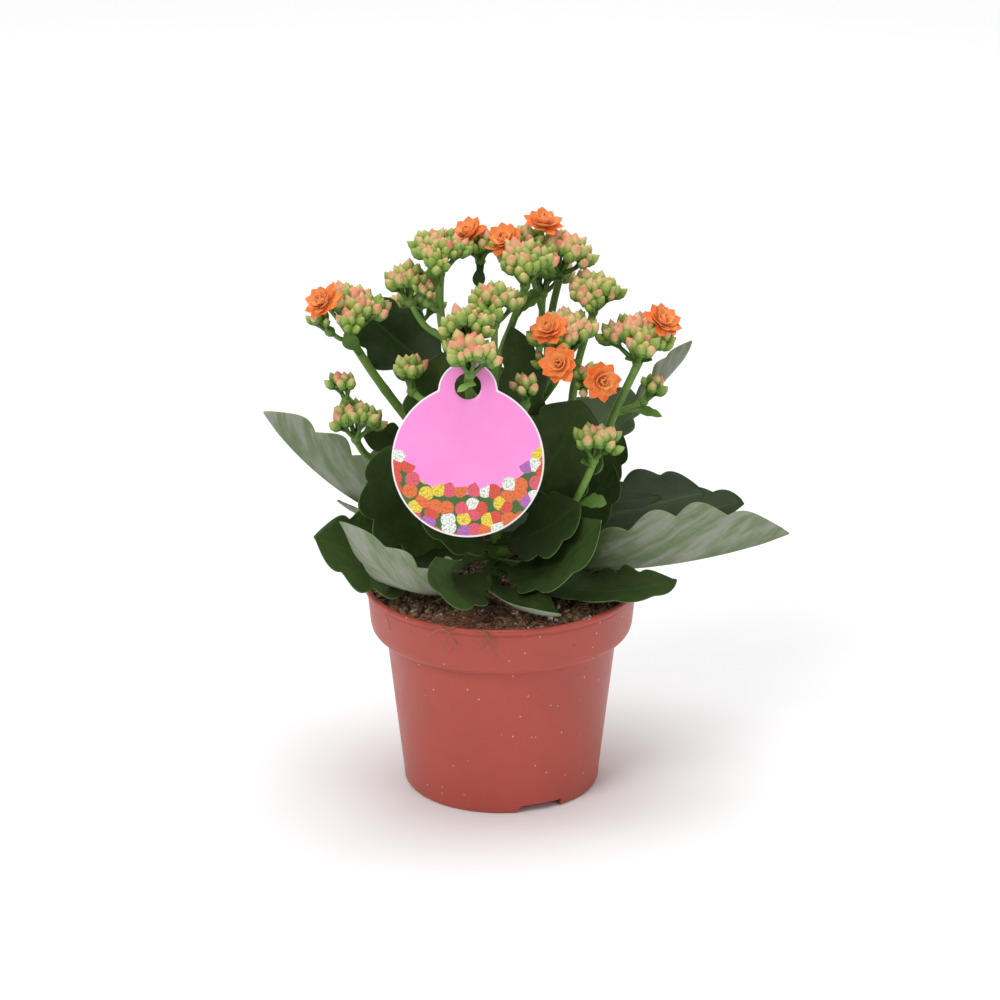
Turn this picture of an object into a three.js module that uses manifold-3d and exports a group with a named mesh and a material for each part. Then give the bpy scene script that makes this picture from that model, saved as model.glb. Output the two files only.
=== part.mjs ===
// A potted kalanchoe: a nursery pot, its soil, one branching plant with crenate leaves,
// sprays of four-angled buds, double blooms, and a round card tag hung on a flower stalk.
// Millimetres, +Z up. The origin is on the pot's axis, in the plane of its foot.

import * as THREE from 'three';
import { mergeVertices } from 'three/addons/utils/BufferGeometryUtils.js';
import Module from 'manifold-3d';

const wasm = await Module();
wasm.setup();

// ---- driving dimensions ----

const POT_HEIGHT = 92.6;
const RIM_RADIUS = 60;
const COLLAR_HEIGHT = 21.2;
const COLLAR_RADIUS = 55.2;
const NECK_RADIUS = 50.4;
const FOOT_RADIUS = 42.8;
const FOOT_LIFT = 3.4;
const WALL = 1.4;
const FLOOR_TOP = 5;
const POT_SIDES = 30;
const NOTCH_WIDTH = 21;
const NOTCH_ANGLES = [23, 143, 263];
const DRAIN_RADIUS = 2.4;
const DRAIN_CIRCLE = 27;
const DRAIN_COUNT = 6;

const SOIL_EDGE = 89.6;
const SOIL_CROWN = 91;

const TRUNK_RADIUS = 2.8;
const BRANCH_RADIUS = 2.2;
const STALK_RADIUS = 1.7;
const TWIG_RADIUS = 1.1;
const SEAT_GAP = 0.38;
const END_LEAN = 0.7;
const END_SHARE = 0.6;
const SEAT_REACH = 14;
const SEAT_PASSES = 5;
const STEM_HOLE = TRUNK_RADIUS + SEAT_GAP + 0.1;

const LEAF_THICKNESS = 1.8;
const MARGIN_THICKNESS = 0.7;
const PETIOLE_HALF = 1.5;
const PETIOLE_SHARE = 0.13;
const SCALLOP_DEPTH = 0.27;
const LEAF_FOLD = 14;

const BUD_LENGTH = 7;
const BUD_RADIUS = 3;
const PEDICEL_RADIUS = 0.6;
const NODE_RADIUS = 3.4;
const BUD_CROWDING = 0.8;
const CLEARANCE = 0.35;
const BRACT_THICKNESS = 1.4;

const BLOOM_RADIUS = 8.6;
const BLOOM_PETALS = 7;
const INNER_SHARE = 0.72;
const WIDE_RISE = 1.6;
const INNER_RISE = 3;
const PETAL_LIFT = 14;
const PETAL_OUTLINE = [[0, 0.42], [0.22, 0.82], [0.5, 1], [0.78, 0.82]];
const CALYX_RADIUS = 2.2;
const CALYX_LENGTH = 2.4;

const TAG_RADIUS = 31.8;
const TAG_EAR_RADIUS = 12.4;
const TAG_EAR_RISE = 29;
const TAG_HOLE_RADIUS = 5.5;
const TAG_HOLE_RISE = 31;
const TAG_THICKNESS = 0.8;
const TAG_CENTRE = [-14, -45, 163];
const TAG_LEAN = THREE.MathUtils.degToRad(20);

// ---- vectors and solids ----

const vec = (p) => new THREE.Vector3(...p);

function toSolid(geometry) {
  const bare = geometry.clone();
  for (const name of Object.keys(bare.attributes)) {
    if (name !== 'position') bare.deleteAttribute(name);
  }
  const merged = mergeVertices(bare, 1e-4);
  const index = Array.from(merged.index.array);
  const kept = [];
  for (let i = 0; i < index.length; i += 3) {
    const [a, b, c] = index.slice(i, i + 3);
    if (a !== b && b !== c && c !== a) kept.push(a, b, c);
  }
  const place = merged.attributes.position;
  const corner = (i) => new THREE.Vector3().fromBufferAttribute(place, i);
  let volume = 0;
  for (let i = 0; i < kept.length; i += 3) {
    const [a, b, c] = kept.slice(i, i + 3).map(corner);
    volume += a.dot(b.cross(c));
  }
  if (volume < 0) kept.reverse();
  return new wasm.Manifold(new wasm.Mesh({
    numProp: 3,
    vertProperties: new Float32Array(place.array),
    triVerts: new Uint32Array(kept),
  }));
}

function toGeometry(solid) {
  const { vertProperties, triVerts } = solid.getMesh();
  const geometry = new THREE.BufferGeometry();
  geometry.setAttribute('position', new THREE.BufferAttribute(vertProperties, 3));
  geometry.setIndex(new THREE.BufferAttribute(triVerts, 1));
  geometry.computeVertexNormals();
  return geometry;
}

const join = (solids) => solids.reduce((whole, piece) => whole.add(piece));

// A profile of [radius, height] pairs turned about the Z axis.
function turned(profile, sides) {
  const points = profile.map(([r, z]) => new THREE.Vector2(r, z));
  return new THREE.LatheGeometry(points, sides).rotateX(Math.PI / 2);
}

// The same, carried to `start` and pointed along `direction`.
function turnedAlong(profile, sides, start, direction) {
  const geometry = turned(profile, sides);
  const turn = new THREE.Quaternion().setFromUnitVectors(new THREE.Vector3(0, 0, 1), direction);
  return geometry.applyQuaternion(turn).translate(start.x, start.y, start.z);
}

// A solid rod of `sides` faces along a smooth curve through the points.
function rod(points, radius, sides, steps) {
  const section = new THREE.Shape();
  for (let i = 0; i < sides; i += 1) {
    const angle = (2 * Math.PI * i) / sides;
    const corner = [radius * Math.cos(angle), radius * Math.sin(angle)];
    if (i === 0) section.moveTo(...corner);
    else section.lineTo(...corner);
  }
  const extrudePath = new THREE.CatmullRomCurve3(points);
  return new THREE.ExtrudeGeometry(section, { steps, extrudePath, bevelEnabled: false });
}

// Stems, as centre line and radius, that leaves and stalks can start from, and their faces.
const stems = [];
const stemFaces = [];

function addStem(points, radius, sides, steps) {
  stems.push({ curve: new THREE.CatmullRomCurve3(points), radius });
  const geometry = rod(points, radius, sides, steps);
  const place = geometry.attributes.position;
  for (let i = 0; i < place.count; i += 3) {
    const [a, b, c] = [0, 1, 2].map((k) => new THREE.Vector3().fromBufferAttribute(place, i + k));
    stemFaces.push(new THREE.Triangle(a, b, c));
  }
  return toSolid(geometry);
}

// The nearest stem to `from`: the point on its centre line, its direction there and its radius.
function nearestStem(from) {
  let best = null;
  for (const { curve, radius } of stems) {
    for (let i = 0; i <= 40; i += 1) {
      const point = curve.getPoint(i / 40);
      const distance = point.distanceTo(from);
      if (!best || distance < best.distance) {
        best = { distance, point, radius, along: curve.getTangent(i / 40), end: i === 40 };
      }
    }
  }
  return best;
}

// Where a stalk or leaf starts: just clear of its stem, on the side towards `to`. `depth` is how
// far its end reaches along a stem of the given direction. One that goes on from a stem's tip
// starts beyond the tip.
function seat(from, to, depth) {
  const stem = nearestStem(from);
  const out = to.clone().sub(stem.point).normalize();
  const lean = Math.abs(out.dot(stem.along));
  const across = Math.sqrt(1 - lean * lean);
  if (stem.end && lean > END_LEAN) {
    const tilt = (stem.radius + depth(stem.along)) * across * END_SHARE;
    return stem.point.clone().addScaledVector(out, SEAT_GAP + tilt);
  }
  return stem.point.clone().addScaledVector(out, (stem.radius + SEAT_GAP + depth(stem.along)) / across);
}

const distanceTo = (face, point) => face.closestPointToPoint(point, new THREE.Vector3()).distanceTo(point);

// Draws a piece's start back along `out` until the piece lies SEAT_GAP from the stems' faces.
// `make` gives the piece's geometry for a start.
function settle(start, out, make) {
  let at = start;
  const faces = stemFaces.filter((face) => distanceTo(face, start) < SEAT_REACH);
  for (let pass = 0; pass < SEAT_PASSES; pass += 1) {
    const place = make(at).attributes.position;
    const corner = (_, i) => new THREE.Vector3().fromBufferAttribute(place, i);
    const corners = Array.from({ length: place.count }, corner);
    const middles = corners.slice(1).map((point, i) => point.clone().lerp(corners[i], 0.5));
    let gap = SEAT_REACH;
    for (const point of [...corners, ...middles]) {
      if (point.distanceTo(at) > SEAT_REACH) continue;
      gap = faces.reduce((least, face) => Math.min(least, distanceTo(face, point)), gap);
    }
    at = at.clone().addScaledVector(out, SEAT_GAP - gap);
  }
  return at;
}

// A repeatable draw between 0 and 1.
function draw(seed) {
  const x = Math.sin(seed * 12.9898 + 4.1414) * 43758.5453;
  return x - Math.floor(x);
}

// ---- pot ----

function innerRadius(z) {
  const slope = (NECK_RADIUS - FOOT_RADIUS) / (POT_HEIGHT - COLLAR_HEIGHT);
  return FOOT_RADIUS - WALL + slope * z;
}

function potSolid() {
  const step = POT_HEIGHT - COLLAR_HEIGHT;
  const body = toSolid(turned([
    [0, 0],
    [13, 0],
    [15, FOOT_LIFT],
    [FOOT_RADIUS - 3.4, FOOT_LIFT],
    [FOOT_RADIUS - 2.4, 0],
    [FOOT_RADIUS - 0.6, 0],
    [FOOT_RADIUS, 0.8],
    [NECK_RADIUS, step - 1.6],
    [COLLAR_RADIUS, step],
    [COLLAR_RADIUS + 2.1, step + 4],
    [RIM_RADIUS - 1.2, POT_HEIGHT - 3.6],
    [RIM_RADIUS, POT_HEIGHT - 1.8],
    [RIM_RADIUS - 0.5, POT_HEIGHT],
    [RIM_RADIUS - 1.8, POT_HEIGHT],
    [RIM_RADIUS - 2.9, POT_HEIGHT - 4],
    [COLLAR_RADIUS + 0.4, step + 4.6],
    [innerRadius(step), step + 0.4],
    [innerRadius(FLOOR_TOP), FLOOR_TOP],
    [0, FLOOR_TOP],
  ], POT_SIDES));
  const cuts = NOTCH_ANGLES.map((degrees) => {
    const outline = new THREE.Shape();
    outline.moveTo(-NOTCH_WIDTH / 2, -1);
    outline.lineTo(NOTCH_WIDTH / 2, -1);
    outline.lineTo(NOTCH_WIDTH / 2, FOOT_LIFT);
    outline.lineTo(-NOTCH_WIDTH / 2 + 3, FOOT_LIFT);
    const block = new THREE.ExtrudeGeometry(outline, { depth: 12, bevelEnabled: false });
    block.rotateX(Math.PI / 2).translate(0, -FOOT_RADIUS + 6, 0);
    return toSolid(block.rotateZ(THREE.MathUtils.degToRad(degrees)));
  });
  for (let i = 0; i < DRAIN_COUNT; i += 1) {
    const drain = new THREE.CylinderGeometry(DRAIN_RADIUS, DRAIN_RADIUS, 12, 8);
    drain.rotateX(Math.PI / 2).translate(DRAIN_CIRCLE, 0, FLOOR_TOP);
    cuts.push(toSolid(drain.rotateZ((2 * Math.PI * i) / DRAIN_COUNT)));
  }
  return cuts.reduce((pot, cut) => pot.subtract(cut), body);
}

// ---- soil ----

// Height of the loose surface: a low crown, clods as crossed waves, a heap at the right back.
function soilHeight(x, y) {
  const reach = Math.hypot(x, y) / (RIM_RADIUS - 3);
  const crown = SOIL_EDGE + (SOIL_CROWN - SOIL_EDGE) * (1 - reach * reach);
  const clods = 0.7 * Math.sin(0.31 * x + 1.3) * Math.cos(0.27 * y) + 0.4 * Math.sin(0.7 * x - 0.6 * y);
  const heap = 2 * Math.exp(-((x - 44) ** 2 + (y - 22) ** 2) / 200);
  return crown + clods + heap;
}

function soilSolid() {
  const step = POT_HEIGHT - COLLAR_HEIGHT;
  const loose = 0.35;
  const edge = RIM_RADIUS - 3.9 - loose;
  const geometry = turned([
    [0, FLOOR_TOP + loose],
    [innerRadius(FLOOR_TOP) - loose, FLOOR_TOP + loose],
    [innerRadius(step) - loose, step + loose],
    [COLLAR_RADIUS - loose, step + 5.2],
    [edge, SOIL_EDGE - 1],
    [46, SOIL_EDGE],
    [30, SOIL_EDGE],
    [14, SOIL_EDGE],
    [0, SOIL_EDGE],
  ], POT_SIDES);
  const place = geometry.attributes.position;
  for (let i = 0; i < place.count; i += 1) {
    const [x, y, z] = [place.getX(i), place.getY(i), place.getZ(i)];
    if (z > SOIL_EDGE - 2) place.setZ(i, soilHeight(x, y) - (SOIL_EDGE - z));
  }
  const depth = 20;
  const [x, y, foot] = TRUNK[0];
  const hole = new THREE.CylinderGeometry(STEM_HOLE, STEM_HOLE, depth, 12);
  hole.rotateX(Math.PI / 2).translate(x, y, foot - SEAT_GAP + depth / 2);
  return toSolid(geometry).subtract(toSolid(hole));
}

// ---- tag ----

// A disc and a smaller ear in one outline, with a hole through the ear.
function tagSolid() {
  const rise = TAG_EAR_RISE;
  const cross = (TAG_RADIUS ** 2 - TAG_EAR_RADIUS ** 2 + rise ** 2) / (2 * rise);
  const side = Math.sqrt(TAG_RADIUS ** 2 - cross ** 2);
  const discAngle = Math.atan2(cross, side);
  const earAngle = Math.atan2(cross - rise, side);
  const outline = new THREE.Shape();
  outline.absarc(0, 0, TAG_RADIUS, Math.PI - discAngle, 2 * Math.PI + discAngle, false);
  outline.absarc(0, rise, TAG_EAR_RADIUS, earAngle, Math.PI - earAngle, false);
  const hole = new THREE.Path();
  hole.absarc(0, TAG_HOLE_RISE, TAG_HOLE_RADIUS, 0, 2 * Math.PI, true);
  outline.holes.push(hole);
  const sheet = new THREE.ExtrudeGeometry(outline, {
    depth: TAG_THICKNESS, bevelEnabled: false, curveSegments: 12,
  });
  sheet.rotateX(Math.PI / 2 - TAG_LEAN).translate(...TAG_CENTRE);
  return toSolid(sheet);
}

// ---- stems ----

const TRUNK = [[-3, 0, 82], [-3, 0, 110], [-3, 1, 145], [-3, 2, 176]];
const BRANCHES = [
  [[-3, 0, 111], [-17, 10, 131], [-38, 14, 158]],
  [[-3, 1, 113], [14, 11, 127], [35, 14, 144]],
  [[-3, 1, 148], [-10, 8, 160], [-18, 11, 178]],
  [[-3, 1, 138], [8, 14, 156], [20, 18, 178]],
];
const stemSolids = [
  addStem(TRUNK.map(vec), TRUNK_RADIUS, 6, 4),
  ...BRANCHES.map((path) => addStem(path.map(vec), BRANCH_RADIUS, 5, 3)),
];

// ---- sprays ----

// Each spray: the path of its stalk from the stem to its top node, and its umbels.
// `steps` is how many straight pieces a stalk has, if not one a point.
// An umbel is [node, axis, reach to the bud tips, spread in degrees, buds]. Bracts are
// [root, direction, length, width], and blooms are [centre, axis].
const SPRAYS = {
  a: {
    path: [[-38, 14, 158], [-45, 12, 168], [-55, 8, 184], [-64, 4.5, 200]],
    umbels: [
      [[-65, 4, 202], [0.15, -0.1, 1], 21, 54, 17],
      [[-73, 1, 205], [-0.7, -0.2, 0.8], 11, 50, 4],
    ],
    bracts: [[[-65, 4, 201], [0.1, -0.9, -0.1], 9, 8]],
    blooms: [[[-74, -4, 218], [-0.5, -0.5, 0.7]]],
  },
  c: {
    path: [[-3, 1, 165], [-14, 5, 177], [-23, 5, 196], [-26, 3, 214], [-26, 2, 229]],
    umbels: [
      [[-26, 2, 230], [0, -0.1, 1], 18, 68, 20],
      [[-31, -3, 219], [-0.3, -0.3, 0.9], 10, 40, 3, [-26, 3, 214]],
    ],
    bracts: [[[-26, 2, 230], [-0.6, -0.6, -0.3], 8, 5]],
  },
  b: {
    path: [[-24, 5, 200], [-33, 7, 206], [-39, 8, 216]],
    umbels: [[[-39, 8, 216], [0, -0.1, 1], 16, 56, 11]],
  },
  d: {
    path: [[-18, 11, 178], [-14, 14, 195], [-10, 15, 215], [-9, 15, 231]],
    umbels: [[[-9, 15, 232], [0.2, -0.1, 1], 14, 60, 9]],
    bracts: [[[-9, 15, 230], [0.1, -0.6, -0.8], 8, 5]],
    blooms: [[[-13, 12, 243], [-0.4, -0.4, 0.8]]],
  },
  f: {
    path: [[-3, 2, 176], [-1, 8, 190], [5, 9, 207], [10, 3, 224]],
    umbels: [[[10, 2, 225], [0, -0.1, 1], 18, 66, 18]],
    bracts: [[[6, 8, 209], [0.7, 0.1, 0.7], 15, 9]],
    blooms: [[[2, 10, 241], [-0.3, -0.5, 0.7]]],
  },
  g: {
    path: [[20, 18, 178], [20, 17, 194], [22, 17, 211], [25, 18, 224]],
    umbels: [
      [[25, 18, 225], [0.25, -0.1, 1], 18, 58, 13],
      [[11, 19, 232], [-0.2, -0.1, 1], 15, 50, 7, [20, 17, 200]],
    ],
    bracts: [[[25, 18, 223], [-0.3, -0.8, 0.1], 7, 5]],
    blooms: [[[17, 17, 246], [0.2, -0.3, 1]]],
  },
  h: {
    path: [[24, 13, 136], [29, 14, 160], [33, 12, 188], [39, 10, 210]],
    umbels: [[[39, 10, 211], [0.05, -0.1, 1], 17, 66, 16]],
  },
  i: {
    path: [[35, 14, 144], [43, 10, 152], [49, 6, 168], [58, 4, 189]],
    umbels: [[[58, 4, 190], [0.1, -0.1, 1], 21, 62, 18]],
    bracts: [
      [[58, 4, 190], [-0.8, -0.5, 0.4], 7, 5],
      [[58, 4, 190], [0.9, -0.4, 0.3], 7, 5],
    ],
    blooms: [[[67, 0, 208], [0.4, -0.5, 0.8]]],
  },
  j: {
    path: [[48, 7, 166], [55, 8, 168], [61, 9, 171]],
    umbels: [[[61, 9, 171], [0.6, 0, 0.8], 13, 40, 3]],
    bracts: [[[52, 7, 167], [0.95, -0.1, -0.1], 17, 6]],
  },
  k: {
    path: [[12, 16, 163], [19, 9, 174], [25, 0, 187], [28, -5, 195]],
    umbels: [
      [[28, -5, 196], [-0.1, -0.1, 1], 19, 66, 15],
      [[34, -10, 185], [0.3, -0.8, 0.4], 13, 55, 8],
    ],
    blooms: [
      [[20.5, -13, 208.5], [-0.3, -0.5, 0.8]],
      [[25, -22, 197], [-0.3, -0.8, 0.5]],
      [[41, -20, 190], [0.4, -0.9, 0.2]],
    ],
  },
  l: {
    path: [[-3, 1, 146], [2, -12, 152], [7, -19, 165], [10, -22, 179]],
    umbels: [[[10, -22, 180], [0, -0.1, 1], 14, 36, 7]],
  },
  m: {
    path: [[-3, 2, 170], [-3, -7, 180], [-3, -12, 196], [-3, -12, 211]],
    umbels: [[[-3, -12, 212], [0, -0.1, 1], 17, 66, 17]],
  },
  n: {
    path: [[-3, 0, 118], [-6, -14, 134], [-11, -22, 164], [-14, -28, 190],
      [-14, -33.5, 196], [-13, -39, 198]],
    steps: 10,
    umbels: [
      [[-13, -39, 199], [0, -0.2, 1], 17, 62, 16],
      [[-15, -33, 210], [0, 0.1, 1], 15, 62, 11],
    ],
  },
  o: {
    path: [[-3, 1, 158], [-16, -11, 163], [-28, -14, 174], [-37, -10, 181]],
    umbels: [[[-38, -10, 182], [-0.2, -0.1, 1], 15, 46, 8]],
  },
  p: {
    path: [[-17, 10, 131], [-30, 6, 134], [-47, 4, 141], [-58, -1, 150], [-62, -8, 159]],
    umbels: [
      [[-62, -8, 160], [0, -0.1, 1], 16, 58, 11],
      [[-66, -6, 176], [-0.2, 0, 1], 13, 46, 4],
    ],
  },
  q: {
    path: [[-3, 0, 104], [12, -12, 112], [28, -19, 130], [36, -21, 146], [39, -19, 153]],
    umbels: [[[39, -19, 154], [0.3, -0.1, 1], 16, 52, 10]],
    bracts: [[[31, -19.5, 134], [0.9, -0.2, 0.1], 11, 7]],
  },
  r: {
    path: [[-28, 12, 146], [-35, 25, 165], [-37, 34, 182], [-36, 40, 196]],
    umbels: [[[-36, 40, 196], [-0.1, 0.15, 1], 17, 62, 9]],
  },
  s: {
    path: [[8, 14, 156], [14, 28, 172], [17, 40, 190], [18, 46, 208]],
    umbels: [[[18, 46, 208], [0.05, 0.15, 1], 17, 62, 9]],
  },
};

// Capsules (two ends and a radius) that stalks, buds and blooms already fill.
const filled = [];

// The shortest distance between two segments, by sampling the first one.
function segmentDistance(a, b, c, d) {
  const line = new THREE.Line3(c, d);
  const near = new THREE.Vector3();
  let least = Infinity;
  for (let i = 0; i <= 6; i += 1) {
    const point = a.clone().lerp(b, i / 6);
    line.closestPointToPoint(point, true, near);
    least = Math.min(least, point.distanceTo(near));
  }
  return least;
}

const isClear = (a, b, radius, owner) => filled.every((other) => {
  const own = other.owner === owner;
  const room = (other.radius + radius) * (own ? BUD_CROWDING : 1) + (own ? 0 : CLEARANCE);
  return (own && other.thin) || segmentDistance(a, b, other.a, other.b) > room;
});

const BUD_PROFILE = [
  [0, 0],
  [PEDICEL_RADIUS, 1.2],
  [PEDICEL_RADIUS, -BUD_LENGTH],
  [BUD_RADIUS, -BUD_LENGTH * 0.55],
  [0, 0],
];

// A bud on its pedicel: a four-angled drop whose thin end is inside the node.
function budGeometry(node, direction, reach) {
  const profile = BUD_PROFILE.map(([r, z], i) => [r, i < 2 ? z : reach + z]);
  return turnedAlong(profile, 4, node, direction);
}

// Directions spread evenly over a cap round `axis`, as seeds in a flower head.
function capDirections(axis, spread, count) {
  const golden = Math.PI * (3 - Math.sqrt(5));
  const turn = new THREE.Quaternion().setFromUnitVectors(new THREE.Vector3(0, 0, 1), axis);
  const depth = 1 - Math.cos(THREE.MathUtils.degToRad(spread));
  return Array.from({ length: count }, (_, i) => {
    const z = 1 - (depth * (i + 0.5)) / count;
    const r = Math.sqrt(1 - z * z);
    return new THREE.Vector3(r * Math.cos(golden * i), r * Math.sin(golden * i), z).applyQuaternion(turn);
  });
}

// A flat kite-shaped blade with a raised middle, from `root` along `direction`.
function kite(root, direction, face, length, width, thickness) {
  const geometry = new THREE.OctahedronGeometry(0.5);
  const place = geometry.attributes.position;
  const out = direction.clone().normalize();
  const side = new THREE.Vector3().crossVectors(out, face).normalize();
  const up = new THREE.Vector3().crossVectors(side, out);
  for (let i = 0; i < place.count; i += 1) {
    const along = (place.getX(i) + 0.5) * length;
    const widest = Math.abs(place.getX(i)) < 0.1 ? 0.1 * length : 0;
    const point = root.clone().addScaledVector(out, along + widest);
    point.addScaledVector(side, place.getY(i) * width).addScaledVector(up, place.getZ(i) * thickness);
    place.setXYZ(i, point.x, point.y, point.z);
  }
  return geometry;
}

function fill(a, b, radius, owner, thin = false) {
  filled.push({ a, b, radius, owner, thin });
}

const bloomPose = ([centre, axis]) => ({ centre: vec(centre), axis: vec(axis).normalize() });

// Directions of the petals of one ring, raised by `lift` degrees from the ring's plane.
function petalRing(axis, count, lift, turn) {
  const side = new THREE.Vector3(0, 0, 1).cross(axis).normalize();
  const rise = THREE.MathUtils.degToRad(lift);
  return Array.from({ length: count }, (_, i) => side.clone()
    .applyAxisAngle(axis, (2 * Math.PI * (i + turn)) / count)
    .multiplyScalar(Math.cos(rise))
    .addScaledVector(axis, Math.sin(rise)));
}

// A bloom as one closed stack of rings, from its seat up: a base, a wide ring of pointed
// petals, a waist, a smaller raised ring of petals and a point. A petal's outline runs from
// its notch over a shoulder to its tip and back.
function bloomSolid({ centre, axis }) {
  const positions = [];
  const index = [];
  const step = PETAL_OUTLINE.length;
  const ring = (points) => {
    const first = positions.length / 3;
    for (const [turn, radius, height] of points) {
      const angle = (2 * Math.PI * turn) / BLOOM_PETALS;
      positions.push(radius * Math.cos(angle), radius * Math.sin(angle), height);
    }
    return first;
  };
  const each = (make) => ring(Array.from({ length: BLOOM_PETALS }, (_, i) => make(i)).flat());
  const plain = (radius, height) => each((i) => [[i, radius, height]]);
  const petals = (turn, reach, height, lift) => each((i) => PETAL_OUTLINE
    .map(([share, out]) => [i + share + turn, reach * out, height + lift * out]));
  // Faces between a plain ring and a petal ring; `under` looks down.
  const skirt = (inner, outer, under) => {
    for (let i = 0; i < BLOOM_PETALS; i += 1) {
      const [a, b] = [inner + i, inner + ((i + 1) % BLOOM_PETALS)];
      const [p, q, r, t, u] = [0, 1, 2, 3, 4].map((k) => outer + ((step * i + k) % (step * BLOOM_PETALS)));
      for (const face of [[a, p, q], [a, q, r], [a, r, b], [b, r, t], [b, t, u]]) {
        index.push(...(under ? face.reverse() : face));
      }
    }
  };
  const base = plain(CALYX_RADIUS - 0.3, 0);
  const wide = petals(0, BLOOM_RADIUS, WIDE_RISE, 1.4);
  const waist = plain(CALYX_RADIUS + 0.2, INNER_RISE - 0.2);
  const small = petals(0.12, BLOOM_RADIUS * INNER_SHARE, INNER_RISE, 3.2);
  const tip = ring([[0, 0, INNER_RISE + 0.6]]);
  for (let i = 2; i < BLOOM_PETALS; i += 1) index.push(base, base + i, base + i - 1);
  skirt(base, wide, true);
  skirt(waist, wide, false);
  skirt(waist, small, true);
  const count = step * BLOOM_PETALS;
  for (let i = 0; i < count; i += 1) index.push(tip, small + i, small + ((i + 1) % count));
  const geometry = new THREE.BufferGeometry();
  geometry.setAttribute('position', new THREE.Float32BufferAttribute(positions, 3));
  geometry.setIndex(index);
  const turn = new THREE.Quaternion().setFromUnitVectors(new THREE.Vector3(0, 0, 1), axis);
  return toSolid(geometry.applyQuaternion(turn).translate(centre.x, centre.y, centre.z));
}

// The pedicel of a bloom, ending in a flat calyx just under it.
function bloomStalk(node, { centre, axis }) {
  const end = centre.clone().addScaledVector(axis, -SEAT_GAP - 0.05);
  const lower = end.clone().addScaledVector(axis, -CALYX_LENGTH);
  const profile = [[0, 0], [0.9, 0], [CALYX_RADIUS, CALYX_LENGTH], [0, CALYX_LENGTH]];
  const calyx = turnedAlong(profile, 6, lower, axis);
  const bend = end.clone().addScaledVector(axis, -5).lerp(node, 0.3);
  const stalk = rod([node, bend, end.clone().addScaledVector(axis, -1)], TWIG_RADIUS, 5, 3);
  return [toSolid(stalk), toSolid(calyx)];
}

// The stalk's points, with the first one settled on its stem.
function stalkPath(spray) {
  const [first, ...others] = spray.path.map(vec);
  const out = others[0].clone().sub(first).normalize();
  const start = seat(first, others[0], (stem) => STALK_RADIUS * Math.abs(out.dot(stem)));
  return [settle(start, out, (at) => rod([at, ...others], STALK_RADIUS, 5, spray.steps)), ...others];
}

function spraySolid(name, spray) {
  const path = spray.stalk;
  const top = path[path.length - 1];
  const solids = [spray.solid];
  spray.umbels.forEach(([at, axis, reach, spread, count, via], order) => {
    const node = vec(at);
    const fork = via ? vec(via) : top;
    solids.push(toSolid(new THREE.OctahedronGeometry(NODE_RADIUS).translate(...at)));
    if (order > 0) solids.push(toSolid(rod([fork, fork.clone().lerp(node, 0.5), node], TWIG_RADIUS, 5, 1)));
    capDirections(vec(axis).normalize(), spread, count).forEach((direction, i) => {
      const length = reach * (0.92 + 0.12 * draw(i + 7 * order + at[0]));
      const tip = node.clone().addScaledVector(direction, length - 1.6);
      const waist = node.clone().addScaledVector(direction, length - BUD_LENGTH + 1);
      const start = node.clone().addScaledVector(direction, NODE_RADIUS);
      if (!isClear(waist, tip, BUD_RADIUS, name)) return;
      if (!isClear(start, waist, PEDICEL_RADIUS, name)) return;
      fill(waist, tip, BUD_RADIUS, name);
      fill(start, waist, PEDICEL_RADIUS, name, true);
      solids.push(toSolid(budGeometry(node, direction, length)));
    });
  });
  for (const [root, direction, length, width] of spray.bracts ?? []) {
    const face = new THREE.Vector3(0, -0.5, 1);
    solids.push(toSolid(kite(vec(root), vec(direction), face, length, width, BRACT_THICKNESS)));
  }
  for (const bloom of spray.blooms ?? []) {
    solids.push(...bloomStalk(vec(spray.umbels[0][0]), bloomPose(bloom)));
  }
  return join(solids);
}

// ---- leaves ----

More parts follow.
